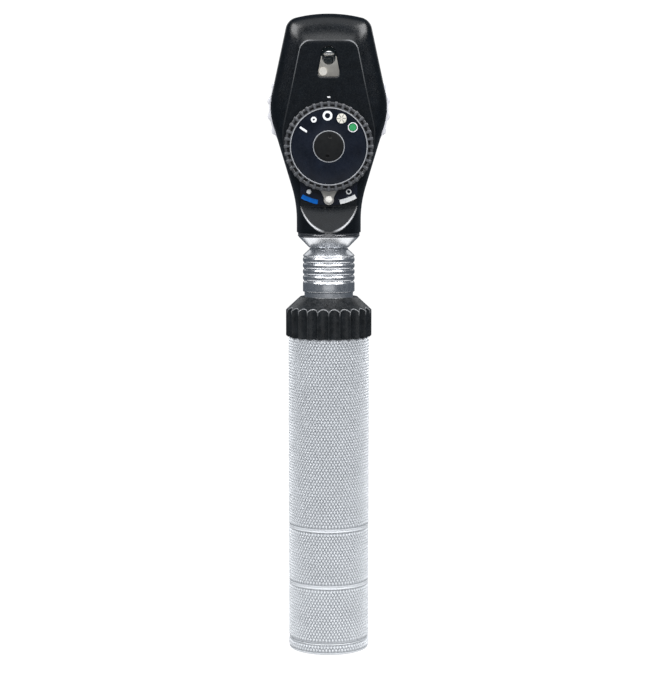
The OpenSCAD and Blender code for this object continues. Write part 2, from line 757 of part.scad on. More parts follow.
module filter_lever() color("#c2c4c7") difference() {
    union() {
        pin_y(13.4, lever_front, lever_back, 0, dial_z);
        translate([0, 0, dial_z]) slab(lever_front, lever_back) hull() {
            translate([0, 2 - lever_r]) circle(r = 2, $fn = 32);
            translate([-3.9, -12.6]) square([7.8, tiny]);
        }
        intersection() {
            pin_y(arc_out, lever_back - tiny, drum_end, 0, dial_z);
            wedge(-arc_half, arc_half, 30, lever_back - 1, drum_end + 1);
        }
    }
    pin_y(drum_r + 2 * run, lever_front - cut, drum_end + cut, 0, dial_z);
    on_dial(0, drum_r) cylinder(r = 1.9, h = 3);
    for (s = [-1, 1]) on_dial(s * lever_step, drum_r) cylinder(r = 1.87, h = 3);
    pin_y(0.8, lever_front - cut, lever_back + cut, 0, dial_z - 19.4);
}

module lever_pin() color("#d8dadd") translate([0, 0, dial_z - 19.4]) {
    pin_y(1.29, -8.4, lever_front - tiny);
    pin_y(0.79, lever_front - 0.1, lever_back - 0.02);
}

module blue_filter() color("#2a62c8", 0.6) on_dial(-lever_step, drum_r + 0.3) cylinder(r = 1.85, h = 0.4);
module polarising_filter() color("#6d7278", 0.6) on_dial(lever_step, drum_r + 0.3) cylinder(r = 1.85, h = 0.4);

// ---------- scale plate and marks ----------

module scale_plate() color("#1b2233") difference() {
    intersection() {
        pin_y(plate_out, -front - 0.3, -front - tiny, 0, dial_z);
        translate([-plate_half_w, -front - 1, dial_z - 30]) cube([2 * plate_half_w, 2, 20]);
    }
    pin_y(13.8, -front - 1, 0, 0, dial_z);
}

// An arc mark on the scale plate, from angle a to b measured from straight down
module scale_arc(a, b) intersection() {
    tube_y(plate_out - 0.02, 20, -front - 0.4, -front - 0.3, 0, dial_z);
    wedge(180 - b, 180 - a, 30, -front - 1, 0);
}

module blue_arc() color("#3f6fb5") scale_arc(-28.5, -11.3);

module scale_marks() color("#f0f1f3") {
    scale_arc(11.3, 28.5);
    pin_y(0.85, -front - 0.4, -front - 0.3, -7.35, dial_z - 16.6);
    tube_y(1, 0.6, -front - 0.4, -front - 0.3, 7.35, dial_z - 16.6);
}

module index_mark() color("#f4f4f2") translate([-0.55, -front - 0.08, 206.9]) cube([1.1, 0.08, 0.55]);

handle_tube();
neck_tube();
battery_lower();
battery_upper();
top_contact();
contact_carrier();
rheostat_board();
lock_spring();
lock_balls();
retaining_ring();
bottom_cap();
cap_o_ring();
battery_spring();
contact_pin();
pin_spring();
dimmer_ring();
dimmer_wiper();
lock_sleeve();
head_plug();
plug_insulator();
head_contact();
head_base();
trim_ring();
led_board();
led_lamp();
light_tube();
condenser_lens();
front_shell();
rear_shell();
shell_screws();
base_screw();
scale_plate();
scale_marks();
blue_arc();
index_mark();
front_window();
optics_frame();
projector_tube();
projector_lens();
deflecting_mirror();
mirror_pin();
wheel_axle();
detent_balls();
detent_springs();
dial_cap();
eyepiece_ring();
dioptre_window();
brow_rest();
lens_wheel();
correction_lenses();
aperture_dial();
dial_face();
dial_marks();
redfree_filter();
star_graticule();
filter_lever();
lever_pin();
blue_filter();
polarising_filter();
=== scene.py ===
"""Looks of the ophthalmoscope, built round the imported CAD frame. Lengths are in millimetres until a mesh is made."""

import json
from math import acos, asin, atan2, copysign, cos, degrees, dist, hypot, pi, radians, sin, sqrt, tan

import bmesh
import bpy
import numpy as np
from mathutils import Matrix, Vector


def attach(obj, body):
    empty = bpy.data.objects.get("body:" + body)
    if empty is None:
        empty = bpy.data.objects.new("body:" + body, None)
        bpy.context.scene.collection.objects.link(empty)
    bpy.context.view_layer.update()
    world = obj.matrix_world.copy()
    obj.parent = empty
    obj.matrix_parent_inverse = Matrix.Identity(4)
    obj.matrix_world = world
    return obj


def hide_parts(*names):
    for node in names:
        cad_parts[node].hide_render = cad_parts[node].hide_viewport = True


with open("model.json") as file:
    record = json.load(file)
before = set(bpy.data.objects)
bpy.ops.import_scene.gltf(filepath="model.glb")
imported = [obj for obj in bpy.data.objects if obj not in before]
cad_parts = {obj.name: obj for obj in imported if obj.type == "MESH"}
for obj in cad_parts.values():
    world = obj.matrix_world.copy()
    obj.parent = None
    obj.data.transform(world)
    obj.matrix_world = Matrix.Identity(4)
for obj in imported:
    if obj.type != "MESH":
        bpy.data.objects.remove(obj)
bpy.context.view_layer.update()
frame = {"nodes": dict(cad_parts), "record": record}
nodes = frame["nodes"]

MM = 0.001
TAU = 2 * pi


def scene_object(name, data):
    obj = bpy.data.objects.new(name, data)
    bpy.context.scene.collection.objects.link(obj)
    return obj


# ---------- camera, at the photograph's viewing angle ----------

camera_data = bpy.data.cameras.new("camera")
camera_data.sensor_width = 36
camera_data.lens = 102.86
camera_data.clip_start = 0.01
camera = scene_object("camera", camera_data)
camera.location = (-0.0014, -0.7386, 0.1895)
camera.rotation_euler = (radians(84.2), 0, 0)
bpy.context.scene.camera = camera

# ---------- mesh helpers ----------


def new_object(name, verts, faces, material, sharp=32):
    """A mesh object from points in millimetres, shaded smooth except across edges sharper than the angle."""
    mesh = bpy.data.meshes.new(name)
    mesh.from_pydata((np.asarray(verts, float) * MM).tolist(), [], faces)
    mesh.materials.append(material)
    obj = scene_object(name, mesh)
    bm = bmesh.new()
    bm.from_mesh(mesh)
    bmesh.ops.recalc_face_normals(bm, faces=bm.faces)
    bm.to_mesh(mesh)
    bm.free()
    shade(obj, sharp)
    return obj


def shade(obj, sharp):
    bm = bmesh.new()
    bm.from_mesh(obj.data)
    limit = radians(sharp)
    for f in bm.faces:
        f.smooth = True
    for e in bm.edges:
        e.smooth = e.is_manifold and e.calc_face_angle(0) < limit
    bm.to_mesh(obj.data)
    bm.free()


def arc(cx, cz, r, a, b, n):
    """Points of an arc, angles in degrees."""
    ts = [radians(a + (b - a) * i / n) for i in range(n + 1)]
    return [(cx + r * cos(t), cz + r * sin(t)) for t in ts]


def rounded(points, radius, n=4):
    """The polygon with its corners rounded. radius is one number, or one for each corner."""
    count = len(points)
    radii = [radius] * count if isinstance(radius, (int, float)) else radius
    out = []
    for i, (p, r) in enumerate(zip(points, radii)):
        a, b = Vector(points[i - 1]), Vector(points[(i + 1) % count])
        p = Vector(p)
        u, v = (a - p), (b - p)
        if r <= 0 or u.length < 1e-6 or v.length < 1e-6 or u.angle(v) > radians(176):
            out.append(tuple(p))
            continue
        angle = u.angle(v)
        cut = min(r / tan(angle / 2), u.length * 0.48, v.length * 0.48)
        start, end = p + u.normalized() * cut, p + v.normalized() * cut
        for k in range(n + 1):
            t = k / n
            out.append(tuple(start * (1 - t) ** 2 + p * 2 * t * (1 - t) + end * t**2))
    return out


def loop_faces(rows, closed=False):
    """Quads between rows of equal length, each row a closed ring of vertex numbers."""
    faces = []
    for a, b in zip(rows, rows[1:] + rows[:1] if closed else rows[1:]):
        faces += zip(a, a[1:] + a[:1], b[1:] + b[:1], b)
    return faces


def loft(name, rings, material, sharp=32, closed=False):
    """A solid through rings of equal length, joined last to first or closed by a flat face at each end."""
    n = len(rings[0])
    rows = [list(range(k * n, (k + 1) * n)) for k in range(len(rings))]
    ends = [] if closed else [tuple(rows[0]), tuple(rows[-1][::-1])]
    return new_object(name, [p for ring in rings for p in ring], loop_faces(rows, closed) + ends, material, sharp)


def revolve(name, profile, material, segments=192, axis="z", centre=(0, 0, 0), sharp=32):
    """A closed solid from a closed profile of (radius, height) points. A radius of 0 makes a pole."""
    verts, rows = [], []
    for r, h in profile:
        if r < 1e-6:
            verts.append((0, 0, h))
            rows.append([len(verts) - 1] * segments)
            continue
        rows.append(list(range(len(verts), len(verts) + segments)))
        verts += [(r * cos(t), r * sin(t), h) for t in (TAU * i / segments for i in range(segments))]
    faces = [tuple(dict.fromkeys(f)) for f in loop_faces(rows, True)]
    verts = np.array(verts)
    if axis == "y":  # heights run along +Y
        verts = verts[:, [0, 2, 1]]
    return new_object(name, verts + np.array(centre), [f for f in faces if len(f) > 2], material, sharp)


def prism(name, outline, y0, y1, material, edge=0.0):
    """A flat XZ outline given depth along Y, its edges rounded by insetting along the outline's normals."""
    outline = np.array(outline, float)
    if area(outline) < 0:
        outline = outline[::-1]
    prev, nxt = np.roll(outline, 1, 0), np.roll(outline, -1, 0)
    d = nxt - prev
    normal = np.stack([d[:, 1], -d[:, 0]], 1) / np.maximum(np.linalg.norm(d, axis=1, keepdims=True), 1e-9)
    levels = [(y0, 0), (y1, 0)]
    if edge > 0:
        quarter = [pi / 2 * k / 3 for k in (3, 2, 1, 0)]
        levels = [(y0 + edge * (1 - sin(t)), edge * (1 - cos(t))) for t in quarter]
        levels += [(y1 - (y - y0), inset) for y, inset in levels[::-1]]
    return loft(name, [[(x, y, z) for x, z in outline - normal * inset] for y, inset in levels], material)


def box(name, xs, ys, zs, material):
    corners = [(x, y, z) for x in xs for y in ys for z in zs]
    sides = [(0, 1, 3, 2), (4, 6, 7, 5), (0, 4, 5, 1), (2, 3, 7, 6), (0, 2, 6, 4), (1, 5, 7, 3)]
    return new_object(name, corners, sides, material)


def area(outline):
    x, z = outline[:, 0], outline[:, 1]
    return 0.5 * float(np.sum(x * np.roll(z, -1) - np.roll(x, -1) * z))


def boolean(obj, cutter, operation="DIFFERENCE", keep=False):
    """Applies a boolean between two closed meshes and removes the second."""
    mod = obj.modifiers.new("b", "BOOLEAN")
    mod.operation = operation
    mod.object = cutter
    mod.solver = "MANIFOLD"
    apply_modifiers(obj)
    if not keep:
        bpy.data.objects.remove(cutter)
    return obj


def apply_modifiers(obj):
    bpy.context.view_layer.update()
    graph = bpy.context.evaluated_depsgraph_get()
    mesh = bpy.data.meshes.new_from_object(obj.evaluated_get(graph))
    obj.modifiers.clear()
    obj.data = mesh


def join(target, *others):
    """Joins separate closed meshes into one object."""
    bm = bmesh.new()
    bm.from_mesh(target.data)
    for o in others:
        other = o.data
        offset = len(target.data.materials)
        base = len(bm.faces)
        for m in other.materials:
            target.data.materials.append(m)
        bm.from_mesh(other)
        bm.faces.ensure_lookup_table()
        for f in bm.faces[base:]:
            f.material_index += offset
        bpy.data.objects.remove(o)
    bm.to_mesh(target.data)
    bm.free()
    return target


def one_material(obj, material):
    """Gives every face the same material, whatever the booleans brought in."""
    obj.data.materials.clear()
    obj.data.materials.append(material)
    for face in obj.data.polygons:
        face.material_index = 0


def weighted(obj):
    """Flat faces stay flat beside the small rounded ones next to them."""
    mod = obj.modifiers.new("normals", "WEIGHTED_NORMAL")
    mod.keep_sharp = True
    mod.weight = 80
    return obj


def piece(obj, body, slot, *replaced):
    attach(obj, body)
    if replaced:
        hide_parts(*replaced)
    return obj


def tint(obj, weight):
    """Stores how much of a material's second colour shows at each point. weight takes x, y, z in millimetres."""
    co = np.zeros(len(obj.data.vertices) * 3, np.float32)
    obj.data.vertices.foreach_get("co", co)
    x, y, z = co.reshape(-1, 3).T / MM
    values = np.clip(np.broadcast_to(weight(x, y, z), x.shape), 0, 1).astype(np.float32)
    attribute = obj.data.attributes.get("tint") or obj.data.attributes.new("tint", "FLOAT", "POINT")
    attribute.data.foreach_set("value", values)


def smax(a, b, k):
    """Smooth maximum, with a blend k wide."""
    h = np.maximum(k - np.abs(a - b), 0) / k
    return np.maximum(a, b) + h * h * k / 4


def smin(a, b, k):
    return -smax(-a, -b, k)


# ---------- materials ----------


def surface(
    name, colour, rough, metallic=0.0, specular=0.5, coat=0.0, tone=(0.06, 120), rough_var=0.06, rough_scale=900,
    bump=None, stretch=(1, 1, 1), alpha=1.0, sheen=0.0, second=None, glow=0.0,
):
    """A principled material with colour, roughness and relief varied by noise in the object's own space.

    tone is (share, scale of the noise) and bump is (strength, scale of the noise, height in metres if not 0.00004).
    """
    mat = bpy.data.materials.new(name)
    mat.use_nodes = True
    tree = mat.node_tree
    bsdf = tree.nodes["Principled BSDF"]
    for socket, value in (
        ("Metallic", metallic),
        ("Specular IOR Level", specular),
        ("Coat Weight", coat),
        ("Coat Roughness", 0.08),
        ("Sheen Weight", sheen),
        ("Alpha", alpha),
        ("Emission Color", [*colour, 1]),
        ("Emission Strength", glow),
    ):
        bsdf.inputs[socket].default_value = value
    coords = tree.nodes.new("ShaderNodeTexCoord")
    mapping = tree.nodes.new("ShaderNodeMapping")
    mapping.inputs["Scale"].default_value = stretch
    tree.links.new(coords.outputs["Object"], mapping.inputs["Vector"])

    def noise(scale, levels):
        n = tree.nodes.new("ShaderNodeTexNoise")
        n.inputs["Scale"].default_value = scale
        n.inputs["Detail"].default_value = levels
        tree.links.new(mapping.outputs["Vector"], n.inputs["Vector"])
        return n.outputs["Fac"]

    def ranged(value, low, high):
        m = tree.nodes.new("ShaderNodeMapRange")
        for socket, number in zip(("From Min", "From Max", "To Min", "To Max"), (0.3, 0.7, low, high)):
            m.inputs[socket].default_value = number
        tree.links.new(value, m.inputs["Value"])
        return m.outputs["Result"]

    mix = tree.nodes.new("ShaderNodeMix")
    mix.data_type = "RGBA"
    share, tone_scale = tone
    dark = [max(c * (1 - share), 0) for c in colour] + [1]
    light = [min(c * (1 + share) + share * 0.004, 1) for c in colour] + [1]
    mix.inputs["A"].default_value = dark
    mix.inputs["B"].default_value = light
    tree.links.new(ranged(noise(tone_scale, 5), 0, 1), mix.inputs["Factor"])
    result = mix.outputs["Result"]
    # the second colour, laid on where the tint attribute says, carries painted shade in the knurl's cuts and painted
    # highlights on edges and rib tops
    if second:
        attribute = tree.nodes.new("ShaderNodeAttribute")
        attribute.attribute_name = "tint"
        second_colour_mix = tree.nodes.new("ShaderNodeMix")
        second_colour_mix.data_type = "RGBA"
        second_colour_mix.inputs["B"].default_value = list(second) + [1]
        tree.links.new(attribute.outputs["Fac"], second_colour_mix.inputs["Factor"])
        tree.links.new(result, second_colour_mix.inputs["A"])
        result = second_colour_mix.outputs["Result"]
    tree.links.new(result, bsdf.inputs["Base Color"])
    tree.links.new(
        ranged(noise(rough_scale, 3), max(rough - rough_var, 0.02), min(rough + rough_var, 1)),
        bsdf.inputs["Roughness"],
    )
    if bump:
        b = tree.nodes.new("ShaderNodeBump")
        strength, bump_scale, size = (*bump, 0.00004)[:3]
        b.inputs["Strength"].default_value = strength
        b.inputs["Distance"].default_value = size
        tree.links.new(noise(bump_scale, 4), b.inputs["Height"])
        tree.links.new(b.outputs["Normal"], bsdf.inputs["Normal"])
    return mat


M = {}


def add(slot, *look, name=None, **more):
    M[slot] = surface(name or slot, *look, **more)


# the second colour is painted shade in the cuts of the knurl
add(
    "knurled_aluminium", (0.59, 0.61, 0.635), 0.48, metallic=0.25, specular=0.25, tone=(0.05, 90),
    bump=(0.1, 5000, 0.00001), second=(0.33, 0.345, 0.365),
    name="anodised_knurl",
)
add(
    "turned_aluminium", (0.7, 0.71, 0.73), 0.28, metallic=1.0, tone=(0.06, 60),
    bump=(0.02, 120, 0.00001), stretch=(1, 1, 40),
)
add(
    "sleeve_silver", (0.74, 0.755, 0.78), 0.27, metallic=1.0, tone=(0.05, 900),
    rough_var=0.02, bump=(0.004, 2600, 0.000006),
)
add(
    "dark_chrome", (0.3, 0.3, 0.31), 0.12, metallic=1.0, tone=(0.05, 120), rough_var=0.04,
    bump=(0.004, 300, 0.00001), stretch=(1, 1, 20),
)
add(
    "steel", (0.36, 0.34, 0.31), 0.34, metallic=0.75, tone=(0.12, 500),
    bump=(0.12, 900, 0.00001), stretch=(1, 1, 12), second=(0.66, 0.63, 0.59),
    name="satin_steel",
)
add("spring_steel", (0.5, 0.5, 0.51), 0.28, metallic=1.0, bump=(0.1, 3000))
add("contact_brass", (0.78, 0.6, 0.28), 0.25, metallic=1.0, bump=(0.08, 3000))
# the second colour is a painted highlight where the flutes run out
add(
    "collar_black", (0.005, 0.0062, 0.0075), 0.34, tone=(0.5, 260), rough_var=0.1,
    bump=(1.0, 1700, 0.00005), second=(0.55, 0.56, 0.58),
)
# the second colour is a painted highlight on the panel's crease and the ramp's rim
add(
    "shell_black", (0.002, 0.0032, 0.0048), 0.25, specular=0.3, tone=(0.3, 350), rough_var=0.05,
    rough_scale=1600, bump=(0.6, 2400, 0.00003), second=(0.5, 0.51, 0.53),
)
add("inner_black", (0.009, 0.0085, 0.008), 0.55, tone=(0.2, 120), bump=(0.2, 2500))
# the second colour is a painted highlight on the tops of the ribs
add(
    "dial_black", (0.006, 0.006, 0.007), 0.32, tone=(0.3, 700),
    bump=(0.2, 3500, 0.00002), second=(0.06, 0.063, 0.07),
)
add(
    "dial_gloss", (0.0035, 0.0055, 0.011), 0.22, specular=0.3, tone=(0.3, 200), rough_var=0.05,
    bump=(0.08, 1800, 0.00002),
)
add(
    "scale_navy", (0.004, 0.006, 0.014), 0.24, specular=0.3, tone=(0.3, 200),
    bump=(0.08, 1800, 0.00002),
)
add("print_white", (0.68, 0.69, 0.7), 0.5, tone=(0.05, 900), bump=(0.1, 3000))
add(
    "print_blue", (0.0005, 0.1, 0.42), 0.5, specular=0.15, tone=(0.12, 900), bump=(0.1, 3000),
)
add(
    "wheel_white", (0.72, 0.72, 0.76), 0.35, tone=(0.04, 300), bump=(0.1, 1200),
)
add("board_green", (0.03, 0.14, 0.06), 0.4, tone=(0.2, 500), bump=(0.2, 900))
add("led_white", (0.9, 0.85, 0.6), 0.3, tone=(0.05, 120), bump=(0.05, 900))
add("mirror_face", (0.62, 0.6, 0.54), 0.3, tone=(0.08, 350), bump=(0.1, 900))
add("pin_white", (0.7, 0.68, 0.64), 0.3, tone=(0.05, 500), bump=(0.1, 900))
add("lens_glass", (0.02, 0.03, 0.035), 0.05, specular=0.6, alpha=0.14, rough_var=0.02)
for tone_name, colour in (("green", (0.03, 0.45, 0.16)), ("blue", (0.03, 0.14, 0.6)), ("grey", (0.15, 0.16, 0.17))):
    add(tone_name + "_glass", colour, 0.08, alpha=0.6, rough_var=0.02)
add(
    "soft_rubber", (0.018, 0.018, 0.02), 0.62, tone=(0.2, 300), sheen=0.15,
    bump=(0.5, 2200, 0.00005),
)
add("cell_wrap", (0.06, 0.11, 0.22), 0.35, metallic=0.5, tone=(0.1, 120), bump=(0.1, 700))
add(
    "bar_polished", (0.78, 0.78, 0.77), 0.16, metallic=1.0, tone=(0.05, 120), rough_var=0.03,
    bump=(0.03, 900, 0.00001),
)
add(
    "coated_lens", (0.012, 0.006, 0.003), 0.06, specular=0.9, coat=0.6, alpha=0.93,
    tone=(0.5, 500), rough_var=0.02,
)
# painted light: the glow stands in for light that the mirror and its peg reflect
# the window's pieces glow a little: lit by the room alone they come out darker than in the photograph
add(
    "plate_cream", (0.8, 0.77, 0.71), 0.35, tone=(0.06, 350), bump=(0.1, 900), glow=0.26,
)
add("peg_cream", (0.86, 0.83, 0.77), 0.3, tone=(0.05, 500), bump=(0.1, 900), glow=0.5)
add(
    "cap_black", (0.0025, 0.003, 0.0034), 0.45, specular=0.22, tone=(0.3, 700),
    bump=(0.3, 3000, 0.00002),
)
add("mark_green", (0.015, 0.23, 0.075), 0.45, tone=(0.1, 900), bump=(0.1, 3000))
add("ring_grey", (0.42, 0.43, 0.45), 0.35, metallic=0.5, tone=(0.1, 900), bump=(0.1, 2000))

# every CAD node that stays takes its slot's finish
slot_of = {part["node"]: part["material_slot"] for part in frame["record"]["subparts"]}
for name, obj in nodes.items():
    own = [m.name.split(".")[0] for m in obj.data.materials if m]
    finish = next((slot for slot in [slot_of.get(name)] + own[:1] if slot in M), None)
    if finish:
        obj.data.materials.clear()
        obj.data.materials.append(M[finish])

nodes["retaining_ring"].data.materials[0] = M["turned_aluminium"]

# ---------- knurled handle ----------

STARTS = 77
ROW = 1.062  # half the height of a diamond
CREST, ROOT = 15.0, 14.52  # radii of the diamonds' tops and of the cuts between them
TIP = 0.46  # share of a diamond that its flat top takes
KNURL_TOP, TUBE_TOP = 118.3, 118.4
SHARP_KNURL = 24


class Knurl:
    """A tube wall built ring by ring. A ring's offset is 0 or half a start."""

    def __init__(self):
        self.verts, self.faces, self.last = [], [], None

    def ring(self, r, z, half=0):
        start = len(self.verts)
        for i in range(STARTS):
            t = TAU * (i + 0.5 * half) / STARTS
            self.verts.append((r * cos(t), r * sin(t), z))
        return (list(range(start, start + STARTS)), half)

    def bridge(self, a, b):
        (low, ha), (high, hb) = a, b
        for i in range(STARTS):
            j = (i + 1) % STARTS
            if ha == hb:
                self.faces.append((low[i], low[j], high[j], high[i]))
            elif ha < hb:
                self.faces += [(low[i], low[j], high[i]), (low[j], high[j], high[i])]
            else:
                k = (i - 1) % STARTS
                self.faces += [(low[i], high[j], high[i]), (low[i], low[j], high[j])]

    def to(self, *rings):
        for r in rings:
            ring = self.ring(*r)
            if self.last:
                self.bridge(self.last, ring)
            self.last = ring

    def diamonds(self, z0, z1):
        """Rows of raised diamonds between two heights, between rings at the root of the grooves."""
        rows = max(2, round((z1 - z0) / ROW))
        step = (z1 - z0) / rows
        corners = [self.ring(ROOT, z0 + step * j, half=j % 2) for j in range(rows + 1)]
        if self.last:
            self.bridge(self.last, corners[0])
        for j in range(1, rows):
            low, mid, high = corners[j - 1][0], corners[j][0], corners[j + 1][0]
            half = corners[j][1]
            z = z0 + step * j
            for i in range(STARTS):
                # the diamond lies between corner i and the next one round the ring
                left, right = mid[i], mid[(i + 1) % STARTS]
                k = (i + 1) % STARTS if half else i
                # its top and bottom corners sit halfway between them
                top, bottom = high[k], low[k]
                centre = TAU * (i + 0.5 * half + 0.5) / STARTS
                w, h = TIP * TAU / STARTS / 2, TIP * step
                start = len(self.verts)
                for dt, dz in ((-w, 0), (0, -h), (w, 0), (0, h)):
                    t = centre + dt
                    self.verts.append((CREST * cos(t), CREST * sin(t), z + dz))
                tip = list(range(start, start + 4))
                outer = [left, bottom, right, top]
                self.faces.append(tuple(tip))
                for a in range(4):
                    b = (a + 1) % 4
                    self.faces.append((outer[a], outer[b], tip[b], tip[a]))
        # the ends are closed by low triangles
        for a, b in ((corners[0], corners[1]), (corners[-1], corners[-2])):
            for i in range(STARTS):
                edge, apex = a[0], b[0]
                j = (i + 1) % STARTS
                k = j if a[1] else i
                self.faces.append((edge[i], edge[j], apex[k]))
        self.last = corners[-1]

    def close(self, name, first, material):
        self.bridge(self.last, first)
        return new_object(name, self.verts, self.faces, material, SHARP_KNURL)


V_CUT = [(14.9, 0.62), (14.88, 0.3), (14.62, 0.06), (14.6, 0)]  # radius, distance from the middle


def groove(k, z):
    """A shallow V groove with a plain band on either side."""
    k.to(*[(r, z + side * dz) for side, steps in ((-1, V_CUT), (1, V_CUT[-2::-1])) for r, dz in steps])


knurl = Knurl()
first = knurl.ring(13.5, 4.5)
knurl.last = first
knurl.to((14.3, 4.45), (14.75, 4.5), (14.82, 4.62))
plain_half = 0.65  # half the plain band round a groove
for low, high in ((4.7, 24.95), (26.25, 46.35), (47.65, KNURL_TOP)):
    knurl.diamonds(low, high)
    if high < 100:
        groove(knurl, high + plain_half)
knurl.to((14.4, TUBE_TOP), (13.5, TUBE_TOP))


def groove_tint(x, y, z):
    """Painted shade: dark where the cuts of the knurl run deep."""
    r = np.hypot(x, y)
    plain = ((z > 3.9) & (z < 4.7)) | ((z > 24.97) & (z < 26.23)) | ((z > 46.37) & (z < 47.63))
    return np.where((r > 14.4) & ~plain, (14.93 - r) / 0.38 * 0.75, 0)


tube = knurl.close("handle_tube_knurled", first, M["knurled_aluminium"])
tint(tube, groove_tint)
piece(tube, "handle", "knurled_aluminium", "handle_tube")

cap = Knurl()
spigot_in = 11.8
first = cap.ring(spigot_in, 11.2)
cap.last = first
cap.to((spigot_in, 2.1))
# the floor inside, the knurled rim and, above it, the spigot with its thread
cap.to((0.6, 2.1), (0.6, 0.35), (7, 0.35), (13.2, 0.3), (13.9, 0.0))
cap.to((14.25, 0.05), (14.6, 0.2), (14.82, 0.5), (14.86, 0.8))
cap.diamonds(0.85, 3.85)
cap.to((14.82, 3.95), (14.7, 4.15), (14.4, 4.2), (13.75, 4.2), (12.9, 4.6), (12.9, 6.0))
for i in range(8):
    z = 6.4 + 0.55 * i
    cap.to((13.72, z), (13.72, z + 0.1), (13.35, z + 0.3), (13.35, z + 0.4))
cap.to((13.3, 11.1), (13.0, 11.2))
screw_cap = cap.close("bottom_cap_knurled", first, M["knurled_aluminium"])
boolean(screw_cap, box("slot", (-9, 9), (-0.8, 0.8), (-1, 1.2), M["knurled_aluminium"]))
shade(screw_cap, SHARP_KNURL)
tint(screw_cap, groove_tint)
piece(screw_cap, "screw_cap", "knurled_aluminium", "bottom_cap")

# ---------- fluted collar ----------

FLUTES = 24
COLLAR_R, FLUTE_TOP, COLLAR_TOP, CONE_TOP_R = 16.0, 128.5, 133.35, 10.7


def flute_radius(t, r):
    """Radius of the collar at angle t where its plain radius is r."""
    centre, cutter = 17.3, 2.4
    a = (t * FLUTES / TAU % 1) * TAU / FLUTES - TAU / FLUTES / 2
    side = centre * sin(a)
    if abs(side) >= cutter:
        return r
    scallop = centre * cos(a) - sqrt(cutter**2 - side**2)
    return float(smin(np.float64(r), np.float64(scallop), 0.16))


collar_rows = rounded(
    [(14.5, 118.6), (COLLAR_R, 118.6), (COLLAR_R, FLUTE_TOP), (CONE_TOP_R, COLLAR_TOP), (9.12, COLLAR_TOP),
     (9.12, 129.75), (14.5, 126)],
    [0, 0.35, 0.3, 0.35, 0.2, 0, 0], 5,
)


def refine(profile, step):
    """Splits the sides of a closed profile into runs of about step(p, q)."""
    out = []
    for p, q in zip(profile, profile[1:] + profile[:1]):
        n = max(1, round(dist(p, q) / step(p, q)))
        out += [(p[0] + (q[0] - p[0]) * i / n, p[1] + (q[1] - p[1]) * i / n) for i in range(n)]
    return out


def collar_step(p, q):
    """Fine on the cone, where the flutes run out."""
    on_cone = (p[0] + q[0]) / 2 > 13 and (p[1] + q[1]) / 2 > 128
    return 0.12 if on_cone else 1.6


collar_rows = refine(collar_rows, collar_step)
per_flute = [0, 0.03, 0.07, 0.11, 0.16, 0.22, 0.29, 0.36, 0.43, 0.5, 0.57, 0.64, 0.71, 0.78, 0.84, 0.89, 0.93, 0.97]
angles = [TAU / FLUTES * (i + f) for i in range(FLUTES) for f in per_flute]
rings = []
for r, z in collar_rows:
    radii = [flute_radius(t, r) if r > 14.55 else r for t in angles]
    rings.append([(rr * cos(t), rr * sin(t), z) for rr, t in zip(radii, angles)])
collar = loft("dimmer_collar", rings, M["collar_black"], 50, closed=True)


def arc_tint(x, y, z):
    """Painted highlights on the edges where the flutes run out into the collar's cone."""
    cone = COLLAR_R - (z - FLUTE_TOP) / (COLLAR_TOP - FLUTE_TOP) * 5.3
    flutes = np.array([flute_radius(t, 30.0) for t in np.arctan2(y, x)])
    return np.where((z > 128.3) & (np.hypot(x, y) > 13), 0.6 * (1 - np.abs(cone - flutes) / 0.2), 0)


tint(collar, arc_tint)
piece(weighted(collar), "dimmer", "collar_black", "dimmer_ring")

# ---------- neck, release sleeve, cone and trim ring ----------

neck = revolve(
    "neck_turned",
    rounded([(13.4, 113.4), (13.4, 118.4), (14.1, 118.4), (14.1, 119.4), (9.07, 119.4), (9.07, 135.2), (7.6, 135.2),
             (7.6, 147.5), (6.85, 147.5), (6.85, 151.6), (5.95, 151.6), (5.95, 129), (7.5, 129), (7.5, 113.4)],
            [0.1, 0.1, 0.1, 0.1, 0, 0.15, 0, 0.1, 0, 0.2, 0.1, 0, 0, 0.1], 3),
    M["turned_aluminium"],
)
for k in range(3):  # the holes that hold the lock balls
    bore = revolve("bore", [(0, -4), (0.8, -4), (0.8, 4), (0, 4)], M["turned_aluminium"], 24)
    bore.data.transform(
        Matrix.Rotation(radians(90 + 120 * k), 4, "Z")
        @ Matrix.Translation((0.0068, 0, 0.1465))
        @ Matrix.Rotation(pi / 2, 4, "Y")
    )
    boolean(neck, bore)
shade(neck, 32)
piece(neck, "handle", "turned_aluminium", "neck_tube")

SLEEVE_R = 9.17  # between the ribs
profile = [
    (9.12, 135.2), (9.5, 135.25), (9.62, 135.35), (9.66, 135.55), (9.66, 138.15), (9.65, 138.35), (9.61, 138.6),
    (9.53, 138.82), (9.4, 139.02), (9.25, 139.15), (SLEEVE_R, 139.3),
]
for z in (140.4, 142.7, 144.95, 147.15):
    rib_angles = [radians(a) for a in range(10, 171, 10)]
    profile.append((SLEEVE_R, z - 1.0))
    profile += [(SLEEVE_R + 0.51 * sin(a) ** 0.8, z - 0.93 * cos(a)) for a in rib_angles]
    profile.append((SLEEVE_R, z + 1.0))
profile += [(9.3, 148.2), (9.36, 148.3), (9.5, 148.42)]
profile += rounded([(9.36, 148.3), (9.68, 148.75), (7.45, 150.85), (6.9, 150.85)], [0, 0.25, 0.15, 0.0], 4)[1:]
profile += [(6.9, 149.3), (8.15, 149.3), (8.15, 147.7), (7.66, 147.7), (7.66, 145.3), (8.4, 145.3)]
profile += [(8.4, 137.2), (9.12, 137.2)]
sleeve = revolve("release_sleeve_ribbed", profile, M["sleeve_silver"], 256, sharp=40)
piece(sleeve, "release_sleeve", "sleeve_silver", "lock_sleeve")

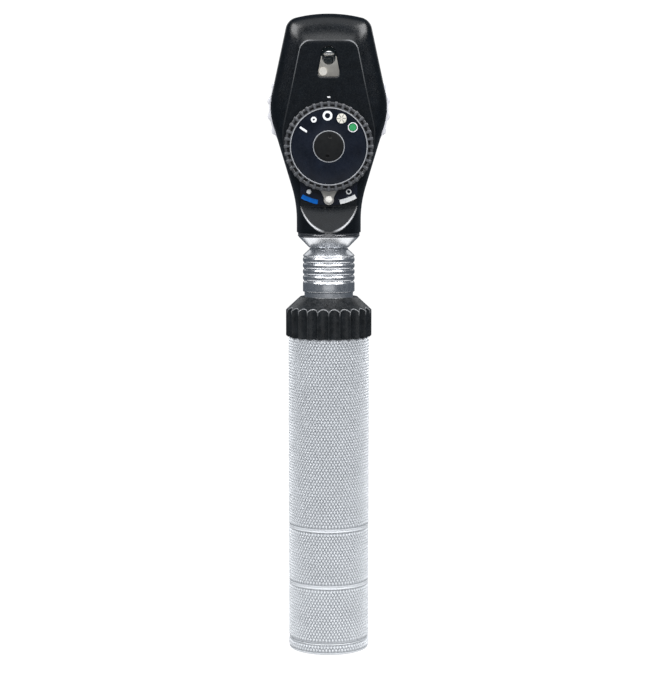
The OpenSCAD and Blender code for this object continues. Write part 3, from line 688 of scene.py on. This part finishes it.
cone = revolve(
    "head_base_cone",
    rounded([(5.9, 151.7), (7.37, 151.7), (11.4, 155.8), (9.8, 155.8), (9.8, 157.35), (8.6, 157.35), (8.6, 160.4),
             (6.4, 160.4), (6.4, 153.9), (5.9, 153.9)],
            [0, 0.25, 0.2, 0, 0, 0, 0.15, 0, 0, 0], 4),
    M["sleeve_silver"],
)
piece(cone, "head", "sleeve_silver", "head_base")
trim = revolve(
    "trim_ring_polished",
    rounded([(9.85, 155.9), (11.5, 155.9), (11.5, 156.45), (11.36, 156.53), (11.36, 156.67), (11.5, 156.75),
             (11.5, 157.3), (9.85, 157.3)],
            [0, 0.18, 0.08, 0.05, 0.05, 0.08, 0.18, 0], 4),
    M["dark_chrome"], 256,
)
piece(trim, "head", "dark_chrome", "trim_ring")

# ---------- outlines of the head, as rays from a point on its axis ----------

BLACK = M["shell_black"]
HUB = 200.0  # height of the point that the rays leave from
FOOT_R, FOOT_Z = 11.93, 157.4
SPLIT = 3.4  # depth at which the two shells meet
PANEL_D = 5.5  # depth of the panel in front of the axis
RAMP_LOW, RAMP_HIGH = 157.8, 167.0
BLEND_TOP = 176  # above this height the foot no longer widens the head
LEAN = tan(radians(16.8))


def side_line(z, inset=0.0):
    """Half-width of the head's straight lower side."""
    return 20.576 - (196.763 - z) * LEAN - inset / cos(radians(16.8))


def outline(y, inset=0.0, bottom=FOOT_Z, foot=FOOT_R):
    """Right half of the head's outline at depth y, from the bottom up, as (x, z) points."""
    foot_w = sqrt(max(foot**2 - max(y, 0) ** 2, 0.01))
    points = [(0, bottom)]
    z = bottom
    while z < 196.5:
        width = side_line(z, inset)
        points.append((float(smax(np.float64(width), np.float64(foot_w), 1.9)) if z < BLEND_TOP else width, z))
        z += 0.25 if z < BLEND_TOP else 0.75
    points += arc(-2.4, 203.7, 24 - inset, -16.8, 12.2, 24)
    points += arc(11.02, 231.55, max(5 - inset, 0.6), 12.2, 76, 24)
    points += arc(0, 187.3, 50.6 - inset, 76, 90, 30)[1:]
    return points


def polar(points):
    """Angle from straight down and distance of each point from the hub."""
    p = np.array(points)
    return np.arctan2(p[:, 0], HUB - p[:, 1]), np.hypot(p[:, 0], p[:, 1] - HUB)


def reach(points, rays):
    """Distance from the hub to an outline along each ray. Long straight runs are split, so they stay straight."""
    fine = []
    for p, q in zip(points, points[1:]):
        n = max(1, int(dist(p, q) / 0.4))
        fine += [(p[0] + (q[0] - p[0]) * i / n, p[1] + (q[1] - p[1]) * i / n) for i in range(n)]
    a, r = polar(fine + [points[-1]])
    order = np.argsort(a, kind="stable")
    return np.interp(rays, a[order], r[order])


half_panel = [(0, RAMP_HIGH)] + [(10.5 * i / 12, RAMP_HIGH) for i in range(1, 12)]
half_panel += rounded(
    [(9.6, RAMP_HIGH), (10.5, RAMP_HIGH), (10.5, 175.0), (16.75, 190.6), (16.95, 195.0), (13.6, 210.5), (12.6, 215.5)],
    [0, 0.7, 8, 8, 30, 0, 0], 10,
)[1:-1]
half_panel += arc(6.82, 223.8, 4.0, 11.5, 90, 16)
half_panel += [(6.82 * (1 - i / 8), 227.8) for i in range(1, 9)]

corner = atan2(FOOT_R, HUB - FOOT_Z)
half_rays = []
stops = [0, corner, radians(20), radians(70), radians(140), radians(168), pi]
counts = [64, 20, 70, 80, 100, 24]
for a, b, n in zip(stops, stops[1:], counts):
    half_rays += [a + (b - a) * i / n for i in range(n)]
half_rays.append(pi)
half_rays = np.array(half_rays)


def both(values):
    """A half ring of values made whole: bottom to top on the right, then top to bottom on the left."""
    return np.concatenate([values, values[-2:0:-1]])


rays = np.concatenate([half_rays, -half_rays[-2:0:-1]])
panel_reach = both(reach(half_panel, half_rays))
edge_reach = both(reach(outline(0.0), half_rays))
N_RAYS = len(rays)


def on_rays(r):
    return np.sin(rays) * r, HUB - np.cos(rays) * r


def flat_ring(r, y):
    x, z = on_rays(r)
    return x, np.full(N_RAYS, y), z


def ramp_plane(z):
    return PANEL_D + (RAMP_HIGH - z) / (RAMP_HIGH - RAMP_LOW) * (FOOT_R - PANEL_D)


def ramp_depth(x, z):
    """How far the foot stands forward of the axis: a cylinder cut back to a sloping ramp."""
    cylinder = np.where(np.abs(x) < FOOT_R, np.sqrt(np.maximum(FOOT_R**2 - x**2, 0)), -3 * (np.abs(x) - FOOT_R))
    return smin(ramp_plane(z), cylinder, 0.7)


def build_solid(name, rings, material):
    """A closed solid from rings of points, closed by a point at each end."""
    n = len(rings[0][0])
    verts = [p for ring in rings for p in zip(*ring)]
    rows = [list(range(k * n, (k + 1) * n)) for k in range(len(rings))]
    faces = loop_faces(rows)
    for row, (x, y, _) in ((rows[0][::-1], rings[0]), (rows[-1], rings[-1])):
        verts.append((float(np.mean(x)), float(np.mean(y)), HUB))
        faces += [(row[i], row[(i + 1) % n], len(verts) - 1) for i in range(n)]
    return new_object(name, verts, faces, material)


STEP_D = 0.32  # the panel stands this much proud of the bevel round it

LEAN0 = sin(radians(25))  # where the bevel's curve starts at the panel


def over_ramp(r, depth):
    """A ring at a depth in front of the axis, blended into the foot where that stands further forward."""
    x, z = on_rays(r)
    return x, -smax(np.full(N_RAYS, depth), ramp_depth(x, z), 0.25), z


def bevel(depth, tau):
    """Depth of the curve from the panel's edge, tau 0, to the head's outline, tau 1."""
    s = LEAN0 + tau * (1 - LEAN0)
    return depth * sqrt(max(1 - s * s, 0)) / sqrt(1 - LEAN0**2) - 0.8


front_rings = [flat_ring(panel_reach * share, -PANEL_D) for share in (0.12, 0.3, 0.5, 0.7, 0.85, 0.94)]
for k in range(7):  # the rounded edge of the panel
    t = pi / 2 * k / 6
    front_rings.append(over_ramp(panel_reach - 0.3 + 0.3 * sin(t), PANEL_D - STEP_D * (1 - cos(t))))
for tau in np.concatenate([[0.006, 0.014], np.linspace(0.03, 1, 52)]):
    front_rings.append(over_ramp(panel_reach + tau * (edge_reach - panel_reach), bevel(6.3 - STEP_D, tau)))
rim_x, rim_z = on_rays(edge_reach)
rim_y = front_rings[-1][1]


def swept(x, z, y):
    """The outline's x at depth y: the foot is round, and the head's side is straight."""
    def width(depth):
        foot_w = np.sqrt(np.maximum(FOOT_R**2 - np.maximum(depth, 0) ** 2, 0.01))
        return np.where(z < BLEND_TOP, smax(side_line(z), foot_w, 1.9), 1)

    return x * width(y) / np.where(z < BLEND_TOP, smax(side_line(z), np.full_like(z, FOOT_R), 1.9), 1)


for s in (0.35, 0.7, 1.0):
    y = rim_y + (SPLIT - rim_y) * s
    front_rings.append((swept(rim_x, rim_z, y), y, rim_z))
front = build_solid("front_shell_moulded", front_rings, BLACK)


def inner_reach(outer, wall, lowest=168.6):
    """The room inside, held clear of the foot."""
    limit = np.where(np.cos(rays) > 0.05, (HUB - lowest) / np.maximum(np.cos(rays), 0.05), 1e3)
    return np.minimum(outer - wall, limit)


inner_panel = inner_reach(panel_reach, 1.0)
inner_edge = np.maximum(inner_reach(edge_reach, 1.5), inner_panel + 0.02)
inner_rings = [flat_ring(inner_panel * share, -4.2) for share in (0.3, 1.0)]
for tau in (0.2, 0.4, 0.6, 0.8, 1.0):
    inner_rings.append(flat_ring(inner_panel + tau * (inner_edge - inner_panel), -bevel(5.0, tau)))
inner_rings.append(flat_ring(inner_edge, SPLIT + 1))
boolean(front, build_solid("room", inner_rings, M["inner_black"]))


def keyhole(grow):
    """The window's outline: a round head over a wider flat base."""
    top, low = (0, 223.0, 2.6 + grow), (2.65, 216.0, 1.3 + grow)
    # the straight side touches both circles where their radii point along this angle
    dx, dz = top[0] - low[0], top[1] - low[1]
    touch = degrees(atan2(dz, dx) - acos((low[2] - top[2]) / hypot(dx, dz)))
    right = arc(*low, -90, touch, 14) + arc(*top, touch, 90, 18)
    return right + [(-x, z) for x, z in right[-2::-1]]


window_cut = [(-6.5, 0.3), (-5.5, 0.3), (-5.42, 0.17), (-5.28, 0.05), (-5.1, 0), (-3, 0)]
boolean(front, loft("window", [[(x, y, z) for x, z in keyhole(grow)] for y, grow in window_cut], BLACK))


def ring_sector(r_in, r_out, a0, a1, y0, y1, centre_z, n=96):
    """A closed sector of a flat ring, angles clockwise from the top."""
    ts = [radians(a0 + (a1 - a0) * i / n) for i in range(n + 1)]
    pts = [(r_out * sin(t), centre_z + r_out * cos(t)) for t in ts]
    pts += [(r_in * sin(t), centre_z + r_in * cos(t)) for t in ts[::-1]]
    return prism("sector", pts, y0, y1, BLACK)


DIAL_Z, WHEEL_Z, SIGHT_Z, DIOPTRE_Z = 189.1, 203.1, 220.9, 189.9
PEG_Z = 231.5
boolean(front, ring_sector(9.9, 12.2, -152, 152, -7, -4.0, DIAL_Z))
bore = revolve(
    "bore", [(0, 156), (8.65, 156), (8.65, 160.45), (4.3, 160.45), (4.3, 170), (0, 170)], BLACK, 96,
)
boolean(front, bore, keep=True)
# a shallow groove leads the eye to the index
notch = rounded([(-0.14, 207.9), (0.14, 207.9), (0.14, 209.5), (-0.14, 209.5)], 0.1, 3)
boolean(front, prism("notch", notch, -6, -5.42, BLACK))
shade(front, 34)


def edge_tint(x, y, z):
    """Painted highlights on the edges: the panel's crease, most of all at its top corners, and the rim of the ramp."""
    angle, distance = np.arctan2(np.abs(x), HUB - z), np.hypot(x, z - HUB)
    beyond = distance - np.interp(angle, half_rays, reach(half_panel, half_rays))
    crease = np.clip(1 - np.abs(beyond - 0.05) / 0.3, 0, 1)
    upwards = np.interp(z, [196, 210, 222, 226, 229], [0.03, 0.06, 0.3, 0.45, 0.3])
    share = upwards * np.interp(np.abs(x), [0, 5, 8], [0.12, 0.25, 1.2])
    cylinder = np.sqrt(np.maximum(FOOT_R**2 - x**2, 0))
    rim = np.clip(1 - np.abs(ramp_plane(z) - cylinder) / 0.4, 0, 1)
    rim = rim * np.interp(np.abs(x), [1.5, 4.5, 8.8, 10.6], [0.05, 1.2, 1.0, 0.1])
    return np.where(y > -3, 0, np.where(z > 190, crease * share, np.where(z < 166.5, rim, 0)))


tint(front, edge_tint)
piece(weighted(front), "head", "shell_black", "front_shell")

# ---------- rear shell ----------

rear_levels = [(SPLIT, 0.12), (SPLIT + 0.06, 0.03), (SPLIT + 0.16, 0.0), (5.0, 0.0), (6.3, 0.0)]
for k in range(1, 15):
    t = pi / 2 * k / 14
    rear_levels.append((6.3 + 4.7 * sin(t), 4.2 * (1 - cos(t))))
rings = []
for y, inset in rear_levels:
    r = both(reach(outline(y, inset, bottom=158.2, foot=FOOT_R - 0.06), half_rays))
    rings.append(flat_ring(r, y))
rings += [flat_ring(r * share, 11.0) for share in (0.93, 0.8, 0.5, 0.2)]
rear = build_solid("rear_shell_moulded", rings, BLACK)

a0 = degrees(asin(SPLIT / FOOT_R))
half_foot = arc(0, 0, 1.0, a0, 180 - a0, 96)
foot_rings = []
for shrink, z in [(0, FOOT_Z), (0, 164.5), (0.05, 165.1), (0.2, 165.7), (0.45, 166.4), (0.85, 167.3), (1.4, 168.4)]:
    r = FOOT_R - shrink
    ring = [(r * x, max(r * y, SPLIT), z) for x, y in half_foot]
    flat = sqrt(r**2 - SPLIT**2)
    ring[0], ring[-1] = (flat, SPLIT, z), (-flat, SPLIT, z)
    foot_rings.append(ring)
boolean(rear, loft("foot", foot_rings, BLACK), "UNION")
inner_edge = inner_reach(both(reach(outline(SPLIT), half_rays)), 1.5)
inner_rings = [
    flat_ring(np.maximum(inner_edge - shrink, 1), y)
    for y, shrink in [(SPLIT - 1, 0.0), (6.4, 0.0), (8.6, 1.5), (9.7, 3.6)]
]
boolean(rear, build_solid("room", inner_rings, M["inner_black"]))


def rod(r, y0, y1, x=0.0, z=0.0, n=96):
    return revolve("rod", [(0, y0), (r, y0), (r, y1), (0, y1)], BLACK, n, "y", (x, 0, z))


def drill(obj, steps, x, z, segments=64, material=BLACK):
    """Cuts a round stepped hole along Y. steps are (radius, depth) points."""
    profile = [(0, steps[0][1]), *steps, (0, steps[-1][1])]
    boolean(obj, revolve("cut", profile, material, segments, "y", (x, 0, z)))


boolean(rear, rod(23.4, SPLIT - 1, 7.25, 0, WHEEL_Z, 192))
boolean(rear, rod(4.2, 7.15, 10.4, 0, WHEEL_Z), "UNION")
boolean(rear, rod(4.6, 9.4, 10.6, 0, DIOPTRE_Z), "UNION")
drill(rear, [(2.0, 5), (2.0, 9.8)], 0, WHEEL_Z)
drill(rear, [(5.0, 7), (5.0, 10.75), (5.2, 11.05), (5.2, 12.5)], 0, SIGHT_Z, 128)
drill(rear, [(2.8, 7.5), (2.8, 9.8), (3.42, 9.8), (3.42, 10.8), (3.8, 11.2), (3.8, 12)], 0, DIOPTRE_Z, 96)
for s in (-1, 1):  # the shell screws, then the pegs of the brow rest
    drill(rear, [(1.05, 6), (1.05, 8.0), (1.9, 8.0), (1.9, 10.6), (2.2, 11.1), (2.2, 13)], 13 * s, 229)
    drill(rear, [(1.05, 4), (1.05, 8.6), (1.9, 8.6), (1.9, 13)], 8.6 * s, 171)
    boolean(rear, rod(1.5, 9.0, 12, 5 * s, PEG_Z, 48))
boolean(rear, bore)
drill(rear, [(0.85, 2), (0.85, 14)], 0, 159, 32)
shade(rear, 34)
piece(weighted(rear), "head", "shell_black", "rear_shell")

# ---------- aperture dial ----------

RIBS = 36
PER_RIB = 16
MARK_R, MARKS_TILT = 11.2, -2.4
MARK_Y = -10.0


def about_dial(angle, r=0.0):
    """Turns what is drawn round the origin to its angle on the dial, clockwise from the top, and out to a radius."""
    turn = Matrix.Translation((0, 0, DIAL_Z * MM)) @ Matrix.Rotation(radians(angle), 4, "Y")
    return turn @ Matrix.Translation((0, 0, r * MM))


def radial_hole(obj, r, low, high, angle, material, segments):
    hole = revolve("hole", [(0, low), (r, low), (r, high), (0, high)], material, segments)
    hole.data.transform(about_dial(angle))
    boolean(obj, hole)


def rib(f):
    """1 on a rib, 0 in a pocket, f from 0 to 1 across one pitch."""
    d = abs(f - 0.5) * 2  # 0 in the middle of the pocket, 1 on the rib
    return float(np.clip((d - 0.52) / 0.16, 0, 1))


dial_profile = [  # radius, depth, how deep the pockets are there, how far they cut the rim
    (13.98, -9.3, 0, 0), (13.98, -10.08, 0, 0), (14.02, -10.17, 0, 0), (14.1, -10.2, 0, 0), (14.3, -10.2, 0, 0),
    (14.38, -10.18, 0, 0), (14.46, -10.18, 0.5, 0), (14.54, -10.18, 0.95, 0), (14.7, -10.17, 1.0, 0),
    (14.95, -10.16, 0.95, 0), (15.1, -10.15, 0.75, 0), (15.25, -10.14, 0.5, 0), (15.5, -10.13, 0.36, 0),
    (15.8, -10.11, 0.32, 0), (16.1, -10.08, 0.34, 0.0), (16.3, -10.03, 0.42, 0.04), (16.42, -9.97, 0.55, 0.1),
    (16.52, -9.86, 0.7, 0.2), (16.55, -9.7, 0.6, 0.3), (16.55, -8.6, 0, 0.34), (16.55, -7.6, 0, 0.34),
    (16.5, -7.35, 0, 0.3), (16.3, -7.2, 0, 0.1),
    # from here on the plain back and the drum's seat
    (11.1, -7.2, 0, 0), (11.1, -5.85, 0, 0), (10.2, -5.85, 0, 0), (10.2, -7.2, 0, 0), (3.05, -7.2, 0, 0),
    (3.05, -9.15, 0, 0), (5.7, -9.15, 0, 0), (5.7, -9.5, 0, 0), (13.98, -9.5, 0, 0),
]
ribs_t = [TAU / RIBS * (i + k / PER_RIB) for i in range(RIBS) for k in range(PER_RIB)]
gaps = [1 - rib(k / PER_RIB) for k in range(PER_RIB)] * RIBS
rings = []
for r, y, depth, notch in dial_profile:
    radii = [r - notch * g for g in gaps]
    rings.append([(rr * sin(t), y + depth * g, DIAL_Z + rr * cos(t)) for rr, t, g in zip(radii, ribs_t, gaps)])
dial = loft("aperture_dial_ribbed", rings, M["dial_black"], 36, closed=True)
drum = ring_sector(10.2, 11.1, -68, 68, -5.9, 2.0, DIAL_Z)
for a, r in ((-27, 0.6), (0, 1.6), (27, 1.4), (54, 1.4)):
    radial_hole(drum, r, 9, 13, a, M["dial_black"], 32)
slit = box("slit", (-0.18, 0.18), (-1.5, 1.5), (9, 13), M["dial_black"])
slit.data.transform(about_dial(-54))
boolean(drum, slit)
dial = boolean(dial, drum, "UNION")
shade(dial, 36)


def rib_tint(x, y, z):
    """Painted light: a grey highlight on the tops of the ribs, painted shade in the pockets."""
    r = np.hypot(x, z - DIAL_Z)
    return np.where((r > 13.9) & (y < -8.5), np.clip((-9.35 - y) / 0.75, 0, 1), 0.1)


tint(dial, rib_tint)
piece(weighted(dial), "aperture_dial", "dial_black", "aperture_dial")

face_profile = rounded([(5.5, -9.5), (5.5, MARK_Y), (13.93, MARK_Y), (13.93, -9.5)], [0, 0.08, 0.08, 0], 4)
face = revolve("dial_face_disc", face_profile, M["dial_gloss"], 256, "y", (0, 0, DIAL_Z))
piece(face, "aperture_dial", "dial_gloss", "dial_face")


def placed(obj, angle):
    """Moves a mark drawn round the origin to its place on the dial."""
    obj.data.transform(about_dial(angle + MARKS_TILT, MARK_R))
    return obj


def print_ring(r_out, r_in, material, y=MARK_Y, z=0.0, n=64):
    inside = [(0, y + 0.01), (0, y - 0.06)]
    if r_in > 0:
        inside = [(r_in, y + 0.01), (r_in, y - 0.03), (r_in + 0.03, y - 0.06)]
    profile = inside + [(r_out - 0.03, y - 0.06), (r_out, y - 0.03), (r_out, y + 0.01)]
    return revolve("mark", profile, material, n, "y", (0, 0, z))


white = M["print_white"]
slit_mark = rounded([(-0.4, -1.55), (0.4, -1.55), (0.4, 1.55), (-0.4, 1.55)], 0.25, 4)
marks = placed(prism("dial_prints", slit_mark, -10.06, -9.99, white), -54)
join(
    marks,
    placed(print_ring(1.07, 0.38, white), -27),
    placed(print_ring(1.8, 0.98, white), 0),
    placed(print_ring(1.8, 0, M["mirror_face"]), 27),
    placed(print_ring(1.8, 1.5, white), 54),
    placed(print_ring(1.3, 0, M["mark_green"]), 54),
    print_ring(14.2, 13.88, M["ring_grey"], y=-10.2, z=DIAL_Z, n=256),
    print_ring(5.82, 5.5, M["ring_grey"], z=DIAL_Z, n=192),
)
for k in range(6):  # the star
    line = rounded([(-0.07, 0.35), (0.07, 0.35), (0.22, 1.62), (0.02, 1.68)], 0.05, 2)
    line = prism("line", line, -10.078, -10.05, M["dial_black"])
    line.data.transform(Matrix.Rotation(TAU * k / 6, 4, "Y"))
    join(marks, placed(line, 27))
piece(marks, "aperture_dial", "print_white", "dial_marks")

cap_profile = rounded(
    [(0, -10.33), (5.38, -10.33), (5.38, -9.3), (1.45, -9.3), (1.45, -4.1), (0, -4.1)], [0, 0.18, 0, 0, 0.1, 0], 4,
)
dial_cap = revolve("dial_cap_turned", cap_profile, M["cap_black"], 192, "y", (0, 0, DIAL_Z))
a = radians(7.3)
for s in (-1, 1):  # holes for a pin spanner
    x, z = s * 3.57 * sin(a), DIAL_Z + s * 3.57 * cos(a)
    drill(dial_cap, [(0.7, -12), (0.7, -10.3), (0.55, -10.15), (0.55, -9.7)], x, z, 32, M["inner_black"])
shade(dial_cap, 32)
piece(dial_cap, "head", "dial_black", "dial_cap")

# ---------- filter lever and its pin ----------

PIN_Z = DIAL_Z - 19.4
tab = [(4.5, -12.9), (4.2, -14.0)] + arc(0, -19.6, 1.9, 22, -202, 24) + [(-4.2, -14.0), (-4.5, -12.9)]
tab = prism("filter_lever_tab", [(x, DIAL_Z + z) for x, z in tab], -6.9, -6.1, M["steel"], edge=0.16)
boolean(tab, rod(0.8, -8, -5, 0, PIN_Z, 32))
ring = rounded([(11.2, -6.9), (13.4, -6.9), (13.4, -6.1), (11.2, -6.1)], 0.08, 3)
boolean(tab, revolve("ring", ring, M["steel"], 192, "y", (0, 0, DIAL_Z)), "UNION")
arm = ring_sector(11.2, 12.0, -33, 33, -6.15, 2.0, DIAL_Z)
for a in (-21, 0, 21):
    radial_hole(arm, 1.88, 10, 14, a, M["steel"], 48)
boolean(tab, arm, "UNION")
one_material(tab, M["steel"])
shade(tab, 36)
tint(tab, lambda x, y, z: np.clip((np.hypot(x, z - DIAL_Z) - 15.5) / 5, 0, 0.9))
piece(weighted(tab), "filter_lever", "steel", "filter_lever")
head_angles = [radians(a) for a in range(10, 91, 10)]
dome = [(1.29 * sin(a), -7.98 - 0.42 * cos(a)) for a in head_angles]
pin = [(0, -8.4), *dome, (1.29, -6.92), (0.79, -6.92), (0.79, -6.12), (0, -6.12)]
pin = revolve("lever_pin_domed", pin, M["pin_white"], 64, "y", (0, 0, PIN_Z))
piece(pin, "filter_lever", "pin_white", "lever_pin")

# ---------- lens wheel ----------

TEETH = 24
LENS_R = 17.8  # the circle the lenses sit on
tooth_profile = [  # share of a pitch from the tooth's middle, share of its height
    (-0.5, 0), (-0.36, 0), (-0.27, 0.12), (-0.2, 0.4), (-0.14, 0.72), (-0.07, 0.94),
    (0, 1), (0.07, 0.94), (0.14, 0.72), (0.2, 0.4), (0.27, 0.12), (0.36, 0),
]
wheel_rows = [  # radius without teeth, depth, height of the teeth there
    (2.05, 3.85, 0), (10, 3.85, 0), (10, 4.3, 0), (20.6, 4.3, 0), (20.6, 3.85, 0), (21.9, 3.87, 0.25),
    (22.1, 3.95, 0.55), (22.18, 4.15, 0.74), (22.2, 4.4, 0.8), (22.2, 6.3, 0.8), (22.18, 6.55, 0.74),
    (22.1, 6.75, 0.55), (21.9, 6.83, 0.25), (20.6, 6.85, 0), (20.6, 6.3, 0), (10, 6.3, 0), (10, 6.85, 0),
    (2.05, 6.85, 0),
]
teeth = [(TAU * (i + 0.5 + f) / TEETH, h) for i in range(TEETH) for f, h in tooth_profile]
rings = []
for r, y, height in wheel_rows:
    radii = [r + height * h for _, h in teeth]
    rings.append([(rr * sin(t), y, WHEEL_Z + rr * cos(t)) for rr, (t, _) in zip(radii, teeth)])
wheel = loft("lens_wheel_toothed", rings, M["wheel_white"], 40, closed=True)


def at_place(name, profile, i, material, segments):
    """Turned about the middle of the wheel's place i."""
    t = TAU * i / TEETH
    centre = (LENS_R * sin(t), 0, WHEEL_Z + LENS_R * cos(t))
    return revolve(name, profile, material, segments, "y", centre)


hole = [(0, 3), (1.9, 3), (1.9, 8), (0, 8)]
boolean(wheel, join(*[at_place("hole", hole, i, M["wheel_white"], 32) for i in range(TEETH)]))
shade(wheel, 40)
# generic lens powers, read through the small window at the back
powers = [0, 1, 2, 3, 4, 5, 6, 8, 10, 12, 15, 20, 35, 25, 20, 15, 10, 8, 6, 5, 4, 3, 2, 1]
# upright when it is at the bottom of the wheel, seen from the back
upright = Matrix.Rotation(pi, 4, "Z") @ Matrix.Rotation(pi / 2, 4, "X")


def power_print(i, power):
    curve = bpy.data.curves.new("power", "FONT")
    curve.body = str(power)
    curve.size = 2.6 * MM
    curve.align_x = "CENTER"
    curve.align_y = "CENTER"
    curve.extrude = 0.02 * MM
    text = scene_object("power", curve)
    bpy.context.view_layer.update()
    mesh = bpy.data.meshes.new_from_object(text.evaluated_get(bpy.context.evaluated_depsgraph_get()))
    bpy.data.objects.remove(text)
    mesh.materials.clear()
    mesh.materials.append(M["inner_black"] if i <= 12 else M["print_blue"])
    mesh.transform(
        Matrix.Translation((0, 0, WHEEL_Z * MM))
        @ Matrix.Rotation(TAU * i / TEETH, 4, "Y")
        @ Matrix.Translation((0, 6.31 * MM, -13.2 * MM))
        @ upright
    )
    return scene_object("power", mesh)


digits = join(*[power_print(i, power) for i, power in enumerate(powers)])
digits.name = "lens_powers"
piece(digits, "lens_wheel", "print_white")
piece(weighted(wheel), "lens_wheel", "wheel_white", "lens_wheel")

# ---------- eyepiece, brow rest and window pieces ----------

eye = revolve(
    "eyepiece_turned",
    rounded([(2.2, 7.35), (5.0, 7.35), (5.0, 11.02), (6.0, 11.02), (6.0, 12.1), (4.65, 12.1), (2.0, 9.5), (2.0, 8.6),
             (2.2, 8.4)],
            [0, 0.1, 0, 0.12, 0.35, 0.3, 0.2, 0, 0], 5),
    M["inner_black"], 192, "y", (0, 0, SIGHT_Z),
)
piece(eye, "head", "dial_black", "eyepiece_ring")

barrel = [(1.35 * sqrt(1 - (0.8 * t) ** 2), 2.5 * t) for t in np.linspace(-1, 1, 21)]
bar = revolve("window_bar", [(0, -2.5)] + barrel + [(0, 2.5)], M["bar_polished"], 64)
bar.data.transform(Matrix.Translation((0, -0.0018, 0.2236)) @ Matrix.Rotation(pi / 2, 4, "Y"))
piece(bar, "head", "sleeve_silver")

# the deflecting mirror, with a round notch for the sight line; it leans forward at the top
MIRROR_LEAN, MIRROR_FOOT = tan(radians(50)), 214.8
half = [(3.85, MIRROR_FOOT), (3.85, 219.4), (2.75, 222.1), (2.45, 222.1)] + arc(0, 221.6, 2.5, 11.5, -90, 20)
plate = prism("deflecting_mirror_notched", half + [(-x, z) for x, z in half[-2::-1]], 0, 1.0, M["plate_cream"])
for v in plate.data.vertices:
    v.co.y += 1.25 * MM - (v.co.z - MIRROR_FOOT * MM) / MIRROR_LEAN
boolean(plate, rod(1.5, -10, 10, -2.1, 216.7, 48))
shade(plate, 32)
piece(plate, "head", "mirror_face", "deflecting_mirror")
nodes["mirror_pin"].data.materials[0] = M["peg_cream"]


def lens(i):
    bulge = 0.28 if i % 2 else 0.16
    steps = [k / 8 for k in range(9)]
    front_side = [(1.86 * k / 8, 4.7 - bulge * (1 - u**2)) for k, u in enumerate(steps)]
    back_side = [(1.86 * k / 8, 5.9 + bulge * (1 - u**2)) for k, u in enumerate(steps)]
    return at_place("lens", front_side + back_side[::-1], i, M["coated_lens"], 48)


lenses = join(*[lens(i) for i in range(TEETH - 1)])  # the last place is open
one_material(lenses, M["coated_lens"])
lenses.name = "correction_lenses_curved"
piece(lenses, "lens_wheel", "lens_glass", "correction_lenses")

BROW_W = 10.2
brow_levels = [  # height above the shell, share of the full outline
    (0, 0.985), (0.25, 1.0), (0.7, 0.995), (1.2, 0.975), (1.7, 0.945), (2.15, 0.905), (2.55, 0.85), (2.88, 0.78),
    (3.14, 0.7), (3.34, 0.6), (3.48, 0.48), (3.55, 0.34), (3.58, 0.22), (3.59, 0.12), (3.6, 0.04),
]
rings = []
for h, share in brow_levels:
    ring = []
    for c, d in [(cos(TAU * i / 96), sin(TAU * i / 96)) for i in range(96)]:
        x = BROW_W * copysign(abs(c) ** 0.72, c) * share
        z = 3.55 * copysign(abs(d) ** 0.8, d) * share
        ring.append((x, 11.03 + h, 231.75 + z + 1.1 * (1 - (x / BROW_W) ** 2)))
    rings.append(ring)
brow = loft("brow_rest_soft", rings, M["soft_rubber"], 50)
for s in (-1, 1):
    boolean(brow, rod(1.45, 9.3, 11.8, 5 * s, PEG_Z, 48), "UNION")
one_material(brow, M["soft_rubber"])
shade(brow, 50)
piece(brow, "head", "soft_rubber", "brow_rest")

# ---------- stage and light ----------

FLOOR_R = 0.24  # in metres, like all that follows
floor_mesh = bpy.data.meshes.new("floor")
floor_points = [(FLOOR_R * cos(TAU * i / 96), FLOOR_R * sin(TAU * i / 96), -0.0002) for i in range(96)]
floor_mesh.from_pydata(floor_points, [], [tuple(range(96))])
floor = scene_object("floor", floor_mesh)
floor_mat = surface("floor_pale", (0.3, 0.3, 0.3), 0.6, tone=(0.01, 120), specular=0.1)
bsdf = floor_mat.node_tree.nodes["Principled BSDF"]
bsdf.inputs["Emission Color"].default_value = (1, 1, 1, 1)
bsdf.inputs["Emission Strength"].default_value = 0.85
floor_mesh.materials.append(floor_mat)

world = bpy.data.worlds.new("studio")
world.use_nodes = True
tree = world.node_tree
background = tree.nodes["Background"]
background.inputs["Color"].default_value = (0.1, 0.115, 0.135, 1)
plain = tree.nodes.new("ShaderNodeBackground")
plain.inputs["Color"].default_value = (1, 1, 1, 1)
plain.inputs["Strength"].default_value = 1.05
path = tree.nodes.new("ShaderNodeLightPath")
mix = tree.nodes.new("ShaderNodeMixShader")
tree.links.new(path.outputs["Is Camera Ray"], mix.inputs[0])
tree.links.new(background.outputs[0], mix.inputs[1])
tree.links.new(plain.outputs[0], mix.inputs[2])
tree.links.new(mix.outputs[0], tree.nodes["World Output"].inputs["Surface"])
bpy.context.scene.world = world
bpy.context.scene.view_settings.view_transform = "Standard"


def softbox(name, place, aim_z, width, height, power):
    light = bpy.data.lights.new(name, "AREA")
    light.shape = "RECTANGLE"
    light.size, light.size_y = width, height
    light.energy = power
    obj = scene_object(name, light)
    obj.location = place
    obj.rotation_euler = (Vector((0, 0, aim_z)) - Vector(place)).to_track_quat("-Z", "Y").to_euler()


# name, place, height of the point it faces on the axis, width, height, power
softbox("overhead", (0.0, -0.4, 1.15), 0.15, 0.8, 0.55, 2.1)
softbox("front_left", (-0.52, -0.44, 0.8), 0.2, 0.5, 0.5, 9.0)
softbox("front_right", (0.52, -0.44, 0.8), 0.2, 0.5, 0.5, 10.0)
softbox("front_middle", (0.0, -1.16, 0.75), 0.15, 0.6, 0.35, 3.0)
softbox("low_front", (0.0, -1.3, -0.02), 0.12, 1.2, 0.22, 0.6)
softbox("back_left", (-0.5, 0.8, 0.6), 0.15, 0.4, 0.6, 0.6)
softbox("back_right", (0.5, 0.8, 0.6), 0.15, 0.4, 0.6, 0.6)
